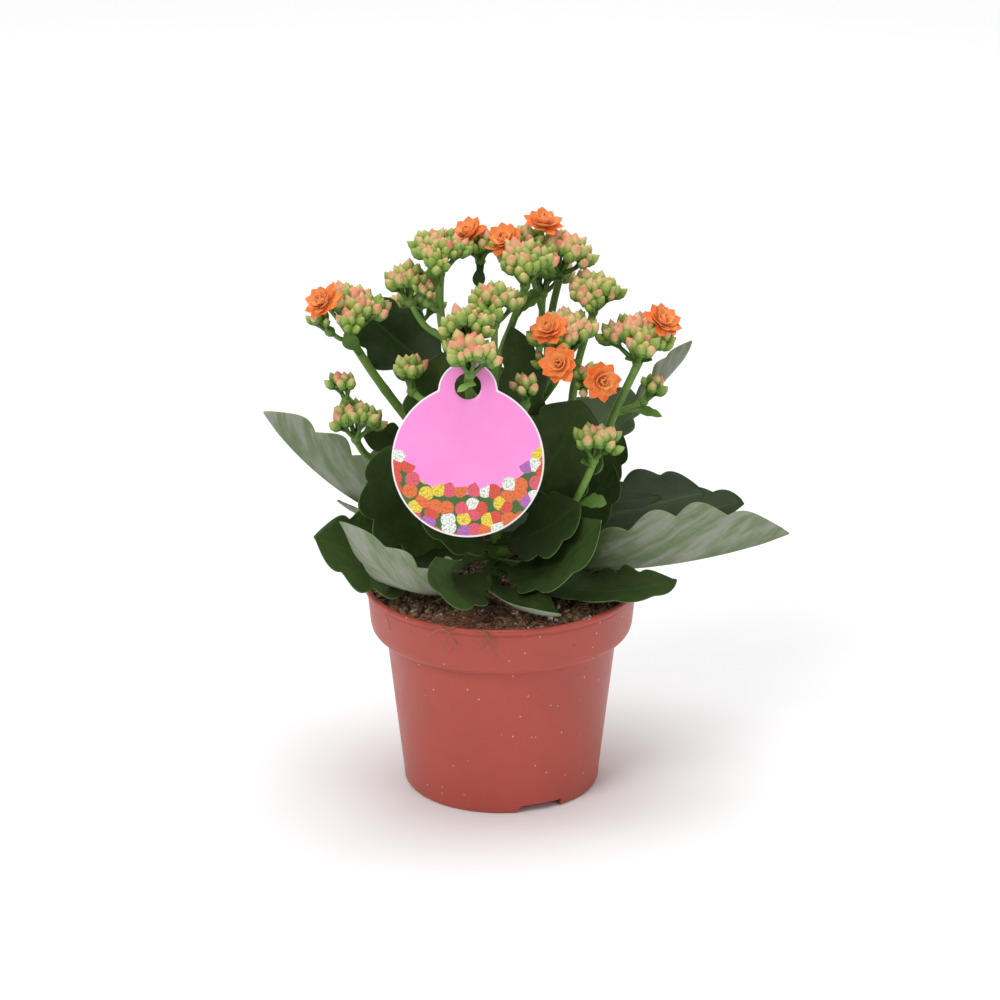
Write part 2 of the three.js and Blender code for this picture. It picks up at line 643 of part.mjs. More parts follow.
// Each leaf: where it leaves its stem, a point half-way along its midrib, its tip, its half
// width, the way its upper face looks, its scallops a side, and the degrees that each half is
// folded up by, if not LEAF_FOLD.
const LEAVES = {
  far_left: [[-3, 0, 107.5], [-60, 9, 124], [-103, 18, 163], 20, [0.35, 0.75, 0.6], 5, 42],
  low_left: [[-3, 0, 103.8], [-43, -10.6, 103.7], [-80, -23, 120.6], 22, [-0.1, -0.6, 0.8], 5],
  front_left: [[-3, 0, 98], [-35, -40, 103], [-68, -38.5, 133.6], 17, [0.3, 0.7, 0.6], 5],
  mid_left: [[-3, 0, 114], [-37, -12, 127], [-47, -9, 157], 21, [0.35, -0.9, 0.3], 5],
  upper_left: [[-14, 4.6, 177.6], [-38, 18.6, 189], [-63, 30, 209], 16, [-0.3, -0.6, 0.75], 4],
  behind_ear: [[-3, 1, 134], [-24, -1, 160], [-24, 0, 196], 16, [0.1, -0.95, 0.2], 5],
  tall: [[-3, 1, 130], [9, 0, 168], [4, 1, 207], 10.5, [0, -0.95, 0.2], 4],
  wide: [[-3, 0, 120], [19, -6, 145], [34, -5, 176], 21, [-0.2, -0.9, 0.3], 5],
  right_inner: [[-3, 0, 112], [30, 6, 120], [48, 7, 143], 13, [-0.2, -0.85, 0.4], 4],
  right_upright: [[22, 12, 133], [37, 22, 134], [53, 26, 150], 12, [0, -0.9, 0.3], 4],
  back_right: [[-3, 0, 108], [50, 26, 112], [90, 38, 118], 20, [0, -0.4, 0.9], 5],
  back_right_low: [[-3, 0, 104], [66, 38, 104], [108, 44, 111], 15, [0, -0.3, 0.95], 5],
  big_right: [[-3, 0, 100.5], [60, -9, 102], [124, -6, 116], 25, [0, 0.7, 0.7], 5, 45],
  low_right: [[-3, 0, 97.6], [38, -25.5, 96], [75, -20, 100], 17, [0, -0.1, 1], 5],
  under_tag_left: [[-3, 0, 108], [-17, -19.5, 120], [-35, -25, 134], 15, [0.1, -0.5, 0.85], 4],
  under_tag_right: [[-3, 0, 109], [16, -22, 122], [33, -28, 138], 16, [-0.35, -0.6, 0.7], 4],
  front_right: [[-3, 0, 100.4], [20, -31, 109], [42, -38, 134], 18, [-0.4, -0.4, 0.8], 4],
  front_low_left: [[-3, 0, 102.2], [-17.2, -46.8, 105.7], [-27.2, -56, 124.4], 14, [0.2, -0.5, 0.8], 4],
  front_low: [[-3, 0, 93.3], [4.3, -40, 96.9], [25, -53, 97], 12.8, [0.1, 0, 1], 4, 30],
  upper_right: [[42, 10.5, 152], [65, 21, 171], [82, 22, 194], 12, [-0.5, 0.5, 0.6], 4],
  left_inner: [[-34, 13, 151], [-46, 8, 153], [-60, 5, 158], 8, [-0.2, -0.7, 0.7], 3],
  right_small: [[14, 11, 127], [42, 14, 122], [70, 16, 124], 7, [-0.2, -0.4, 0.9], 3],
  left_small: [[-3, 0, 105.2], [-40, 11, 109], [-71, 5, 127], 6, [0.1, 0.3, 0.9], 3],
  back_left: [[-3, 0, 96], [-34, 44, 108], [-58, 72, 126], 22, [0, -0.2, 1], 4],
  back: [[-3, 0, 98.5], [4, 46, 110], [12, 88, 126], 22, [0, -0.3, 1], 4],
  back_right_high: [[-3, 1, 131], [34, 44, 140], [58, 70, 156], 18, [0, -0.3, 1], 4],
  back_upright: [[-3, 1, 126], [-10, 26, 156], [-14, 38, 192], 18, [0, -1, 0.4], 4],
};

// Half the width at u: a petiole, then a rounded blade whose margin has `lobes` scallops.
function leafHalf(half, lobes, u) {
  const s = (u - PETIOLE_SHARE) / (1 - PETIOLE_SHARE);
  if (s <= 0) return PETIOLE_HALF;
  if (s >= 1) return 0.6;
  const scallop = 1 + SCALLOP_DEPTH * (Math.abs(Math.sin(Math.PI * lobes * s)) - 0.7);
  return Math.max(PETIOLE_HALF * (1 - s), half * Math.sin(Math.PI * s ** 1.3) ** 0.65 * scallop);
}

function leafRows(lobes) {
  const shares = [0.35, 0.65, 1];
  const rows = [0, PETIOLE_SHARE * 0.6];
  for (let k = 0; k < lobes; k += 1) {
    for (const share of shares) rows.push(PETIOLE_SHARE + ((1 - PETIOLE_SHARE) * (k + share)) / lobes);
  }
  return rows;
}

// The way across a leaf and the way its upper face looks, where it runs along `along`.
function leafFrame(face, along) {
  const up = vec(face).addScaledVector(along, -vec(face).dot(along)).normalize();
  return { up, side: new THREE.Vector3().crossVectors(along, up) };
}

// The point that pulls a leaf's curved midrib through its middle point.
function leafPull(start, [, mid, tip]) {
  return vec(mid).multiplyScalar(2).addScaledVector(start, -0.5).addScaledVector(vec(tip), -0.5);
}

// Where a leaf's petiole meets its stem.
function leafStart(leaf) {
  const [from, , , , face] = leaf;
  const pull = leafPull(vec(from), leaf);
  const out = pull.clone().sub(vec(from)).normalize();
  const { up, side } = leafFrame(face, out);
  const start = seat(vec(from), pull, (stem) => (LEAF_THICKNESS / 2) * Math.abs(up.dot(stem))
    + PETIOLE_HALF * Math.abs(side.dot(stem)));
  return settle(start, out, (at) => leafGeometry(leaf, at));
}

// A blade folded along its midrib: a grid of left margin, midrib and right margin, on the
// upper and the under face, with both faces split into triangles alike.
function leafGeometry(leaf, start) {
  const [, , tip, half, face, lobes, degrees = LEAF_FOLD] = leaf;
  const fold = THREE.MathUtils.degToRad(degrees);
  const midrib = new THREE.QuadraticBezierCurve3(start, leafPull(start, leaf), vec(tip));
  const rows = leafRows(lobes);
  const positions = [];
  for (const layer of [0.5, -0.5]) {
    for (const u of rows) {
      const { up, side } = leafFrame(face, midrib.getTangent(u));
      const width = leafHalf(half, lobes, u);
      for (const v of [-1, 0, 1]) {
        const thickness = v === 0 || u < PETIOLE_SHARE ? LEAF_THICKNESS : MARGIN_THICKNESS;
        const point = midrib.getPoint(u)
          .addScaledVector(side, v * width * Math.cos(fold))
          .addScaledVector(up, Math.abs(v) * width * Math.sin(fold) + layer * thickness);
        positions.push(point.x, point.y, point.z);
      }
    }
  }
  const under = rows.length * 3;
  const index = [];
  const quad = (a, b, c, d) => index.push(a, b, c, a, c, d);
  for (let i = 0; i < rows.length - 1; i += 1) {
    const row = 3 * i;
    for (const a of [row, row + 1]) {
      quad(a, a + 1, a + 4, a + 3);
      index.push(under + a, under + a + 4, under + a + 1, under + a, under + a + 3, under + a + 4);
    }
    quad(row, row + 3, under + row + 3, under + row);
    quad(row + 5, row + 2, under + row + 2, under + row + 5);
  }
  for (const a of [0, 1]) {
    const b = under - 3 + a;
    quad(a + 1, a, under + a, under + a + 1);
    quad(b, b + 1, under + b + 1, under + b);
  }
  const geometry = new THREE.BufferGeometry();
  geometry.setAttribute('position', new THREE.Float32BufferAttribute(positions, 3));
  geometry.setIndex(index);
  return geometry;
}

// ---- the assembly ----

const TERRACOTTA = new THREE.MeshStandardMaterial({ color: 0xb2544a, roughness: 0.5, metalness: 0 });
const PEAT = new THREE.MeshStandardMaterial({ color: 0x3a2a1e, roughness: 0.95, metalness: 0 });
const CARD = new THREE.MeshStandardMaterial({ color: 0xfc98db, roughness: 0.4, metalness: 0 });
const STEM_GREEN = new THREE.MeshStandardMaterial({ color: 0x5f8a33, roughness: 0.5, metalness: 0 });
const LEAF_GREEN = new THREE.MeshStandardMaterial({ color: 0x2c4a18, roughness: 0.35, metalness: 0 });
const BUD_GREEN = new THREE.MeshStandardMaterial({ color: 0xa3b860, roughness: 0.5, metalness: 0 });
const PETAL_ORANGE = new THREE.MeshStandardMaterial({ color: 0xf26a2b, roughness: 0.5, metalness: 0 });

const kalanchoe = new THREE.Group();

function addPiece(name, solid, material) {
  const mesh = new THREE.Mesh(toGeometry(solid), material);
  mesh.name = name;
  kalanchoe.add(mesh);
}

addPiece('pot', potSolid(), TERRACOTTA);
addPiece('soil', soilSolid(), PEAT);
addPiece('tag', tagSolid(), CARD);
addPiece('main_stem', join(stemSolids), STEM_GREEN);

for (const [name, spray] of Object.entries(SPRAYS)) {
  spray.steps ??= spray.path.length;
  spray.stalk = stalkPath(spray);
  spray.solid = addStem(spray.stalk, STALK_RADIUS, 5, spray.steps);
  const bends = stems[stems.length - 1].curve.getPoints(10);
  bends.slice(1).forEach((point, i) => fill(bends[i], point, STALK_RADIUS, name, true));
  for (const bloom of spray.blooms ?? []) {
    const { centre, axis } = bloomPose(bloom);
    const root = centre.clone().addScaledVector(axis, 1.5);
    for (const out of petalRing(axis, BLOOM_PETALS, PETAL_LIFT, 0)) {
      fill(root, root.clone().addScaledVector(out, BLOOM_RADIUS - 1.8), 1.8, `bloom_${name}`);
    }
  }
}
for (const [name, spray] of Object.entries(SPRAYS)) {
  addPiece(`spray_${name}`, spraySolid(name, spray), BUD_GREEN);
  (spray.blooms ?? []).forEach((bloom, i) => {
    addPiece(`bloom_${name}_${i + 1}`, bloomSolid(bloomPose(bloom)), PETAL_ORANGE);
  });
}
for (const [name, leaf] of Object.entries(LEAVES)) {
  addPiece(`leaf_${name}`, toSolid(leafGeometry(leaf, leafStart(leaf))), LEAF_GREEN);
}

export default kalanchoe;
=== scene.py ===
"""A potted kalanchoe: terracotta nursery pot, peat, crenate leaves, sprays of buds, double
blooms and a round hang tag. Shapes are worked out in millimetres and put in place in metres."""

import math

import bpy
import numpy as np
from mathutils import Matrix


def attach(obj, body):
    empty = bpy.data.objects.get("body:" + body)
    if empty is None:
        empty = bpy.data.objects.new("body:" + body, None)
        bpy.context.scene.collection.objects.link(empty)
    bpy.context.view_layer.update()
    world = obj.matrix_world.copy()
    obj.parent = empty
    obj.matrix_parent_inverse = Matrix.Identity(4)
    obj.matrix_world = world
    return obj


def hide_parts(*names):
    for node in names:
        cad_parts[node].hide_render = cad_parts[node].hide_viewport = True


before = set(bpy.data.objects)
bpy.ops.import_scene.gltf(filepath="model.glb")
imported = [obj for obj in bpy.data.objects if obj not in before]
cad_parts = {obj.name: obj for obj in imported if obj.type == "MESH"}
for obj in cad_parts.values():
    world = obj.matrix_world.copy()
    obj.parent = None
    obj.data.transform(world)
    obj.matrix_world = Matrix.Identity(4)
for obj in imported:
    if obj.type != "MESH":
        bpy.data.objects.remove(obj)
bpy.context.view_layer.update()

MM = 0.001
UP = np.array([0.0, 0.0, 1.0])
GOLDEN = math.pi * (3 - math.sqrt(5))

# ---- sizes in millimetres ----

POT_HEIGHT = 92.6
RIM_RADIUS = 60.0
COLLAR_HEIGHT = 21.2
COLLAR_RADIUS = 55.2
NECK_RADIUS = 50.4
FOOT_RADIUS = 42.8
FOOT_LIFT = 3.4
WALL = 1.4
FLOOR_TOP = 5.0
NOTCH_HALF = 10.5
NOTCH_SLOPE = 2.3
NOTCH_ANGLES = (23, 143, 263)
DRAINS = 6
DRAIN_RADIUS = 2.4
DRAIN_CIRCLE = 27.0
STEP = POT_HEIGHT - COLLAR_HEIGHT
SOIL_EDGE = 89.6
SOIL_CROWN = 91.0
SOIL_REACH = RIM_RADIUS - 4.2
CRUMBS_COUNT = 2600
FIBRES_COUNT = 420
ROOTS_COUNT = 170

TAG_RADIUS = 31.8
TAG_EAR_RADIUS = 12.4
TAG_EAR_RISE = 29.0
TAG_HOLE_RADIUS = 5.5
TAG_HOLE_RISE = 31.0
TAG_THICKNESS = 0.8
TAG_ROUNDING = 0.12
TAG_CENTRE = np.array([-14.0, -45.0, 163.0])
TAG_LEAN = math.radians(20)
PRINT_CIRCLE_RISE = 0.68  # in tag radii

TRUNK_RADIUS = 2.8
BRANCH_RADIUS = 2.2
STALK_RADIUS = 1.7
TWIG_RADIUS = 1.1
TWIG_SAG = 1.5
LEAF_THICKNESS = 1.8
MARGIN_THICKNESS = 0.9
PETIOLE_HALF = 1.7
PETIOLE_SHARE = 0.13
SCALLOP_DEPTH = 0.27
LEAF_FOLD = 14
BRACT_FOLD = 16
BLOOM_RADIUS = 8.6
BUD_LENGTH = 9.0
PEDICEL_LENGTH = 2.4
RIPENESS = 0.58
FAN_SPREAD = 52.0
ARM_AREA = 138.0
BUD_AREA = 31.0

# The random draws of each kind of piece start from its own seed.
COARSE_SEED, FINE_SEED, CRUMBS_SEED, FIBRES_SEED = 3, 4, 11, 12
SPRAY_SEED, LEAF_SEED, BRACT_SEED, BLOOM_SEED = 100, 300, 500, 700

# ---- where everything grows ----

TRUNK = [(-3, 0, 82), (-3, 0, 110), (-3, 1, 145), (-3, 2, 176)]
BRANCHES = [
    [(-3, 0, 111), (-17, 10, 131), (-38, 14, 158)],
    [(-3, 1, 113), (14, 11, 127), (35, 14, 144)],
    [(-3, 1, 148), (-10, 8, 160), (-18, 11, 178)],
    [(-3, 1, 138), (8, 14, 156), (20, 18, 178)],
]

# A spray: its stalk's points from the stem to the top node, and its radius where that differs
# from most; its umbels as node, axis, reach to the bud tips and spread in degrees, with the fork
# that a later umbel's twig leaves from; its bracts as root, direction, length and width, then the
# way that the upper face looks and how pale it is; its blooms as centre and axis; and how large
# its buds are against the rest.
SPRAYS = {
    "a": {
        "path": [(-38, 14, 158), (-45, 12, 168), (-55, 8, 184), (-64, 4.5, 200)], "stalk": 2.0,
        "umbels": [((-65, 4, 202), (0.15, -0.1, 1), 21, 54),
                   ((-73, 1, 205), (-0.7, -0.2, 0.8), 11, 50)],
        "bracts": [((-60, 3.5, 194.5), (-0.5, -0.3, 0.8), 12, 9.5, (-0.2, -0.95, 0.3), 0.0)],
        "blooms": [((-74, -4, 218), (-0.5, -0.5, 0.7))],
    },
    "c": {
        "path": [(-3, 1, 165), (-14, 5, 177), (-23, 5, 196), (-26, 3, 214), (-26, 2, 229)],
        "umbels": [((-26, 2, 230), (0, -0.1, 1), 18, 68),
                   ((-31, -3, 219), (-0.3, -0.3, 0.9), 10, 40, (-26, 3, 214))],
        "bracts": [((-26.5, 1.5, 225), (-0.35, -0.3, 0.9), 10.5, 6.5, (-0.3, -0.95, 0.1), 0.1)],
        "buds": 0.86, "stalk": 1.9,
    },
    "b": {
        "path": [(-24, 5, 200), (-33, 7, 206), (-39, 8, 216)], "stalk": 1.4,
        "umbels": [((-39, 8, 216), (0, -0.1, 1), 16, 56)],
    },
    "d": {
        "path": [(-18, 11, 178), (-14, 14, 195), (-10, 15, 215), (-9, 15, 231)], "buds": 0.86,
        "umbels": [((-9, 15, 232), (0.2, -0.1, 1), 14, 60)],
        # This bract's tone of -0.4 is a near black green: painted shade under the head.
        "bracts": [((-9, 14, 231), (-0.1, -0.35, -0.95), 10, 7, (0, -0.95, 0.2), -0.4)],
        "blooms": [((-13, 12, 243), (-0.4, -0.4, 0.8))],
    },
    "f": {
        "path": [(-3, 2, 176), (-1, 8, 190), (5, 9, 207), (10, 3, 224)],
        "umbels": [((10, 2, 225), (0, -0.1, 1), 18, 66)],
        "bracts": [((6, 8, 209), (0.7, 0.1, 0.7), 15, 9)],
        "blooms": [((2, 10, 241), (-0.3, -0.5, 0.7))],
    },
    "g": {
        "path": [(20, 18, 178), (20, 17, 194), (22, 17, 211), (25, 18, 224)],
        "umbels": [((25, 18, 225), (0.25, -0.1, 1), 18, 58),
                   ((11, 19, 232), (-0.2, -0.1, 1), 15, 50, (20, 17, 200))],
        "bracts": [((25, 18, 223), (-0.3, -0.8, 0.1), 7, 5)],
        "blooms": [((17, 17, 246), (0.2, -0.3, 1))],
    },
    "h": {
        "path": [(24, 13, 136), (29, 14, 160), (33, 12, 188), (39, 10, 210)], "buds": 0.9,
        "umbels": [((39, 10, 211), (0.05, -0.1, 1), 17, 66)],
    },
    "i": {
        "path": [(35, 14, 144), (43, 10, 152), (49, 6, 168), (58, 4, 189)], "stalk": 1.9,
        "umbels": [((58, 4, 190), (0.1, -0.1, 1), 21, 62)],
        "bracts": [((58, 4, 190), (-0.8, -0.5, 0.4), 7, 5), ((58, 4, 190), (0.9, -0.4, 0.3), 7, 5)],
        "blooms": [((67, 0, 208), (0.4, -0.5, 0.8))],
    },
    "j": {
        "path": [(48, 7, 166), (55, 8, 168), (61, 9, 171)],
        "umbels": [((61, 9, 171), (0.6, 0, 0.8), 13, 40)],
        "bracts": [((52, 7, 167), (0.95, -0.1, -0.1), 17, 6)],
    },
    "k": {
        "path": [(12, 16, 163), (19, 9, 174), (25, 0, 187), (28, -5, 195)],
        "umbels": [((28, -5, 196), (-0.1, -0.1, 1), 19, 66), ((34, -10, 185), (0.3, -0.8, 0.4), 13, 55),
                   ((23, -5, 190), (-0.55, -0.6, 0.5), 12, 50, (25, 0, 187))],
        "blooms": [((20.5, -13, 208.5), (-0.3, -0.5, 0.8)), ((25, -22, 197), (-0.3, -0.8, 0.5)),
                   ((41, -20, 190), (0.4, -0.9, 0.2))],
    },
    "l": {
        "path": [(-3, 1, 146), (2, -12, 152), (7, -19, 165), (10, -22, 179)],
        "umbels": [((10, -22, 180), (0, -0.1, 1), 14, 36)],
    },
    "m": {
        "path": [(-3, 2, 170), (-3, -7, 180), (-3, -12, 196), (-3, -12, 211)], "buds": 0.9,
        "umbels": [((-3, -12, 212), (0, -0.1, 1), 17, 66)],
    },
    "n": {
        "path": [(-3, 0, 118), (-6, -14, 134), (-11, -22, 164), (-14, -28, 190),
                 (-14, -33.5, 196), (-13, -39, 198)],
        "umbels": [((-13, -39, 199), (0, -0.2, 1), 17, 62), ((-15, -33, 210), (0, 0.1, 1), 15, 62)],
        "bracts": [((-11.4, -34.4, 193.6), (-0.8, -0.3, -0.35), 8, 4.2, (-0.2, -0.7, 0.7), 0.9)],
    },
    "o": {
        "path": [(-3, 1, 158), (-16, -11, 163), (-28, -14, 174), (-37, -10, 181)],
        "umbels": [((-38, -10, 182), (-0.2, -0.1, 1), 15, 46)],
    },
    "p": {
        "path": [(-17, 10, 131), (-30, 6, 134), (-47, 4, 141), (-58, -1, 150), (-62, -8, 159)],
        "umbels": [((-62, -8, 160), (0, -0.1, 1), 16, 58), ((-66, -6, 176), (-0.2, 0, 1), 13, 46)],
    },
    "q": {
        "path": [(-3, 0, 104), (12, -12, 112), (28, -19, 130), (36, -21, 146), (39, -19, 153)],
        "umbels": [((39, -19, 154), (0.3, -0.1, 1), 16, 52)],
        "bracts": [((31, -19.5, 134), (0.9, -0.2, 0.1), 14, 9),
                   ((38, -19.5, 151), (-0.6, -0.5, 0.5), 7, 5)],
    },
    "r": {
        "path": [(-28, 12, 146), (-35, 25, 165), (-37, 34, 182), (-36, 40, 196)],
        "umbels": [((-36, 40, 196), (-0.1, 0.15, 1), 17, 62)],
    },
    "s": {
        "path": [(8, 14, 156), (14, 28, 172), (17, 40, 190), (18, 46, 208)],
        "umbels": [((18, 46, 208), (0.05, 0.15, 1), 17, 62)],
    },
}

# A leaf: where it leaves its stem, as a bare height where it leaves the trunk's foot; a point
# half-way along its midrib, its tip, its half width, the way its upper face looks, its scallops a
# side, how light its green is, and any other number of degrees that each half is folded up by.
# On the behind_ear, tall and wide leaves the light green is partly painted sheen.
LEAVES = {
    "far_left": (107.5, (-60, 9, 124), (-103, 18, 163), 20, (0.35, 0.75, 0.6), 5, 0.6, 42),
    "low_left": (103.8, (-43, -10.6, 103.7), (-80, -23, 120.6), 22, (-0.1, -0.6, 0.8), 5, 0.75),
    "front_left": (98, (-35, -40, 103), (-68, -38.5, 133.6), 17, (0.3, 0.7, 0.6), 5, 0.5),
    "mid_left": (114, (-37, -12, 127), (-47, -9, 157), 21, (0.35, -0.9, 0.3), 5, 0.5),
    "upper_left": ((-14, 4.6, 177.6), (-38, 18.6, 189), (-63, 30, 209), 16, (-0.3, -0.6, 0.75), 4, 0.1),
    # behind_ear, tall and wide: the lightest green, which partly stands for painted sheen.
    "behind_ear": ((-3, 1, 134), (-24, -1, 160), (-24, 0, 196), 16, (0.1, -0.95, 0.2), 5, 0.9),
    "tall": ((-3, 1, 130), (9, 0, 168), (4, 1, 207), 10.5, (0, -0.95, 0.2), 4, 1.0),
    "wide": (120, (19, -6, 145), (34, -5, 176), 21, (-0.2, -0.9, 0.3), 5, 1.0),
    "right_inner": (112, (30, 6, 120), (48, 7, 143), 13, (-0.2, -0.85, 0.4), 4, 0.5),
    "right_upright": ((22, 12, 133), (37, 22, 134), (53, 26, 150), 12, (0, -0.9, 0.3), 4, 0.7),
    "back_right": (108, (50, 26, 112), (90, 38, 118), 20, (0, -0.4, 0.9), 5, 0.15),
    "back_right_low": (104, (66, 38, 104), (108, 44, 111), 15, (0, -0.3, 0.95), 5, 0.2),
    "big_right": (100.5, (60, -9, 102), (124, -6, 116), 25, (0, 0.7, 0.7), 5, 0.8, 45),
    "low_right": (97.6, (38, -25.5, 96), (75, -20, 100), 17, (0, -0.1, 1), 5, 0.4),
    "under_tag_left": (108, (-17, -19.5, 120), (-35, -25, 134), 15, (0.1, -0.5, 0.85), 4, 0.4),
    "under_tag_right": (109, (16, -22, 122), (33, -28, 138), 16, (-0.35, -0.6, 0.7), 4, 0.3),
    "front_right": (100.4, (20, -31, 109), (42, -38, 134), 18, (-0.4, -0.4, 0.8), 4, 0.5),
    "front_low_left": (102.2, (-17.2, -46.8, 105.7), (-27.2, -56, 124.4), 14, (0.2, -0.5, 0.8), 4, 0.6),
    "front_low": (93.3, (4.3, -40, 96.9), (25, -53, 97), 12.8, (0.1, 0, 1), 4, 0.4, 30),
    "upper_right": ((42, 10.5, 152), (65, 21, 171), (82, 22, 194), 12, (-0.5, 0.5, 0.6), 4, 0.5),
    "left_inner": ((-34, 13, 151), (-46, 8, 153), (-60, 5, 158), 8, (-0.2, -0.7, 0.7), 3, 0.7),
    "right_small": ((14, 11, 127), (42, 14, 122), (70, 16, 124), 7, (-0.2, -0.4, 0.9), 3, 0.1),
    "left_small": (105.2, (-40, 11, 109), (-71, 5, 127), 6, (0.1, 0.3, 0.9), 3, 0.4),
    "back_left": (96, (-34, 44, 108), (-58, 72, 126), 22, (0, -0.2, 1), 4, 0.5),
    "back": (98.5, (4, 46, 110), (12, 88, 126), 22, (0, -0.3, 1), 4, 0.4),
    "back_right_high": ((-3, 1, 131), (34, 44, 140), (58, 70, 156), 18, (0, -0.3, 1), 4, 0.6),
    "back_upright": ((-3, 1, 126), (-10, 26, 156), (-14, 38, 192), 18, (0, -1, 0.4), 4, 0.3),
}

# ---- view and light ----

CAMERA_PLACE = (-0.000648, -1.3971, 0.64525)
CAMERA_TILT = 69.72
CAMERA_LENS = 124.23
SENSOR_WIDTH = 36.0

# A soft square light: its place, the point that it looks at, its size in metres and its watts.
LIGHTS = {
    "key": ((-2.0, -2.6, 3.0), (0, 0, 0.13), 1.8, 72),
    "fill": ((2.4, -2.2, 1.6), (0, 0, 0.13), 1.6, 14),
    "top": ((0.15, 0.7, 3.6), (0, 0.3, 0), 3.0, 92),
}


def put_in_scene(name, data):
    """A new object with this data, in the scene."""
    thing = bpy.data.objects.new(name, data)
    bpy.context.scene.collection.objects.link(thing)
    return thing


def set_camera():
    """The photograph's view: from the front, 20 degrees above the horizon, 1.5 m away."""
    camera = put_in_scene("camera", bpy.data.cameras.new("camera"))
    camera.data.lens = CAMERA_LENS
    camera.data.sensor_width = SENSOR_WIDTH
    camera.location = CAMERA_PLACE
    camera.rotation_euler = (math.radians(CAMERA_TILT), 0, 0)
    bpy.context.scene.camera = camera


set_camera()


# ---- arrays ----

def unit(v):
    """Vectors divided by their own length."""
    v = np.asarray(v, float)
    return v / np.maximum(np.linalg.norm(v, axis=-1, keepdims=True), 1e-12)


def vectors(*parts):
    """Vectors with these parts, each part spread to the shape of all."""
    return np.stack(np.broadcast_arrays(*parts), axis=-1)


def turned(r, a, z):
    """Points at radius r, angle a and height z."""
    return vectors(r * np.cos(a), r * np.sin(a), z)


def curve(start, pull, end, t):
    """The quadratic curve start (1 - t)^2 + pull 2t (1 - t) + end t^2."""
    return start * (1 - t)**2 + pull * 2 * t * (1 - t) + end * t**2


def smooth_path(points, count):
    """`count` points along a curve through all of `points`: between two neighbours it is the
    Hermite cubic whose slopes weigh each side by the square root of its length, and the path is
    carried on past both ends in a straight line."""
    p = np.asarray(points, float)
    p = np.vstack([2 * p[:1] - p[1:2], p, 2 * p[-1:] - p[-2:-1]])
    t = np.linspace(0, len(points) - 1, count)
    i = np.minimum(t.astype(int), len(points) - 2)
    w = (t - i)[:, None]
    a, b, c, d = (p[i + k] for k in range(4))
    ab, bc, cd = (np.sqrt(np.linalg.norm(y - x, axis=1))[:, None]
                  for x, y in ((a, b), (b, c), (c, d)))
    first = bc * ((b - a) / ab - (c - a) / (ab + bc) + (c - b) / bc)
    last = bc * ((c - b) / bc - (d - b) / (bc + cd) + (d - c) / cd)
    return (b * (1 - 3 * w**2 + 2 * w**3) + first * (w - 2 * w**2 + w**3)
            + c * (3 * w**2 - 2 * w**3) + last * (w**3 - w**2))


def grid_faces(rows, columns, closed=True):
    """Four-cornered faces of a grid of points, each facing along (column step) x (row step). The
    last column joins the first where `closed`."""
    k, j = np.meshgrid(np.arange(rows - 1), np.arange(columns - (not closed)), indexing="ij")
    n = (j + 1) % columns
    below, above = k * columns, (k + 1) * columns
    return vectors(below + j, below + n, above + n, above + j).reshape(-1, 4)


def cap_faces(first, pole, columns, outward):
    """Three-cornered faces from a ring that starts at point `first` to the point `pole`, whose
    number stands twice."""
    j = np.arange(columns)
    n = (j + 1) % columns
    a, b = (j, n) if outward else (n, j)
    return vectors(first + a, first + b, pole, pole)


def skin_faces(rows, columns, inside_out=False):
    """A closed skin over a grid of rings, whose two poles come after its last ring."""
    walls = grid_faces(rows, columns)
    return np.concatenate([
        walls[:, ::-1] if inside_out else walls,
        cap_faces(0, rows * columns, columns, inside_out),
        cap_faces((rows - 1) * columns, rows * columns + 1, columns, not inside_out),
    ])


def copies(faces, count, size):
    """The faces of `count` surfaces of `size` points that follow each other."""
    return (faces[None] + np.arange(count)[:, None, None] * size).reshape(-1, 4)


def bodies(paths, radii, sides, poles=None):
    """Closed round bodies, one along each of n paths of m points. Ring k is the path's point k
    plus radius (cos a across + sin a over), where across and over are square to the path and a
    takes `sides` even steps. A pole closes each end. The radii are one for all, one a point of
    the path, or also one a body and a side. Gives the points, the faces and each point's body."""
    paths, radii = np.asarray(paths, float), np.asarray(radii, float)
    n, m, _ = paths.shape
    tangent = unit(np.gradient(paths, axis=1))
    aside = np.eye(3)[np.argmin(np.abs(unit(paths[:, -1] - paths[:, 0])), axis=1)][:, None]
    across = unit(np.cross(aside, tangent))
    over = np.cross(tangent, across)
    angle = np.arange(sides) * 2 * np.pi / sides
    reach = np.broadcast_to(radii if radii.ndim == 3 else radii[..., None], (n, m, sides))[..., None]
    ring = paths[:, :, None] + reach * (np.cos(angle)[:, None] * across[:, :, None]
                                        + np.sin(angle)[:, None] * over[:, :, None])
    ends = paths[:, [0, -1]] if poles is None else poles
    points = np.concatenate([ring.reshape(n, m * sides, 3), ends], axis=1)
    size = m * sides + 2
    return points.reshape(-1, 3), copies(skin_faces(m, sides), n, size), np.repeat(np.arange(n), size)


def cap_directions(axis, spread, count):
    """Directions spread evenly over a cap of `spread` degrees round `axis`, as seeds lie in a
    flower head: each turns on by the golden angle, and its height falls evenly."""
    i = np.arange(count)
    z = 1 - (1 - math.cos(math.radians(spread))) * (i + 0.5) / count
    r = np.sqrt(1 - z * z)
    axis = unit(axis)
    across = unit(np.cross(axis, (0.31, 0.95, 0.05)))
    over = np.cross(axis, across)
    return ((r * np.cos(GOLDEN * i))[:, None] * across + (r * np.sin(GOLDEN * i))[:, None] * over
            + z[:, None] * axis)


def ripple(points, seed, step):
    """A smooth wave between about -1 and 1 over space: the sum of six sines whose directions are
    drawn from `seed` and whose lengths are near `step`."""
    rng = np.random.default_rng(seed)
    ways = unit(rng.normal(size=(6, 3))) * (2 * np.pi / (step * rng.uniform(0.6, 1.6, 6)))[:, None]
    return np.sin(points @ ways.T + rng.uniform(0, 6.3, 6)).sum(axis=1) / 3.0


# ---- pieces ----

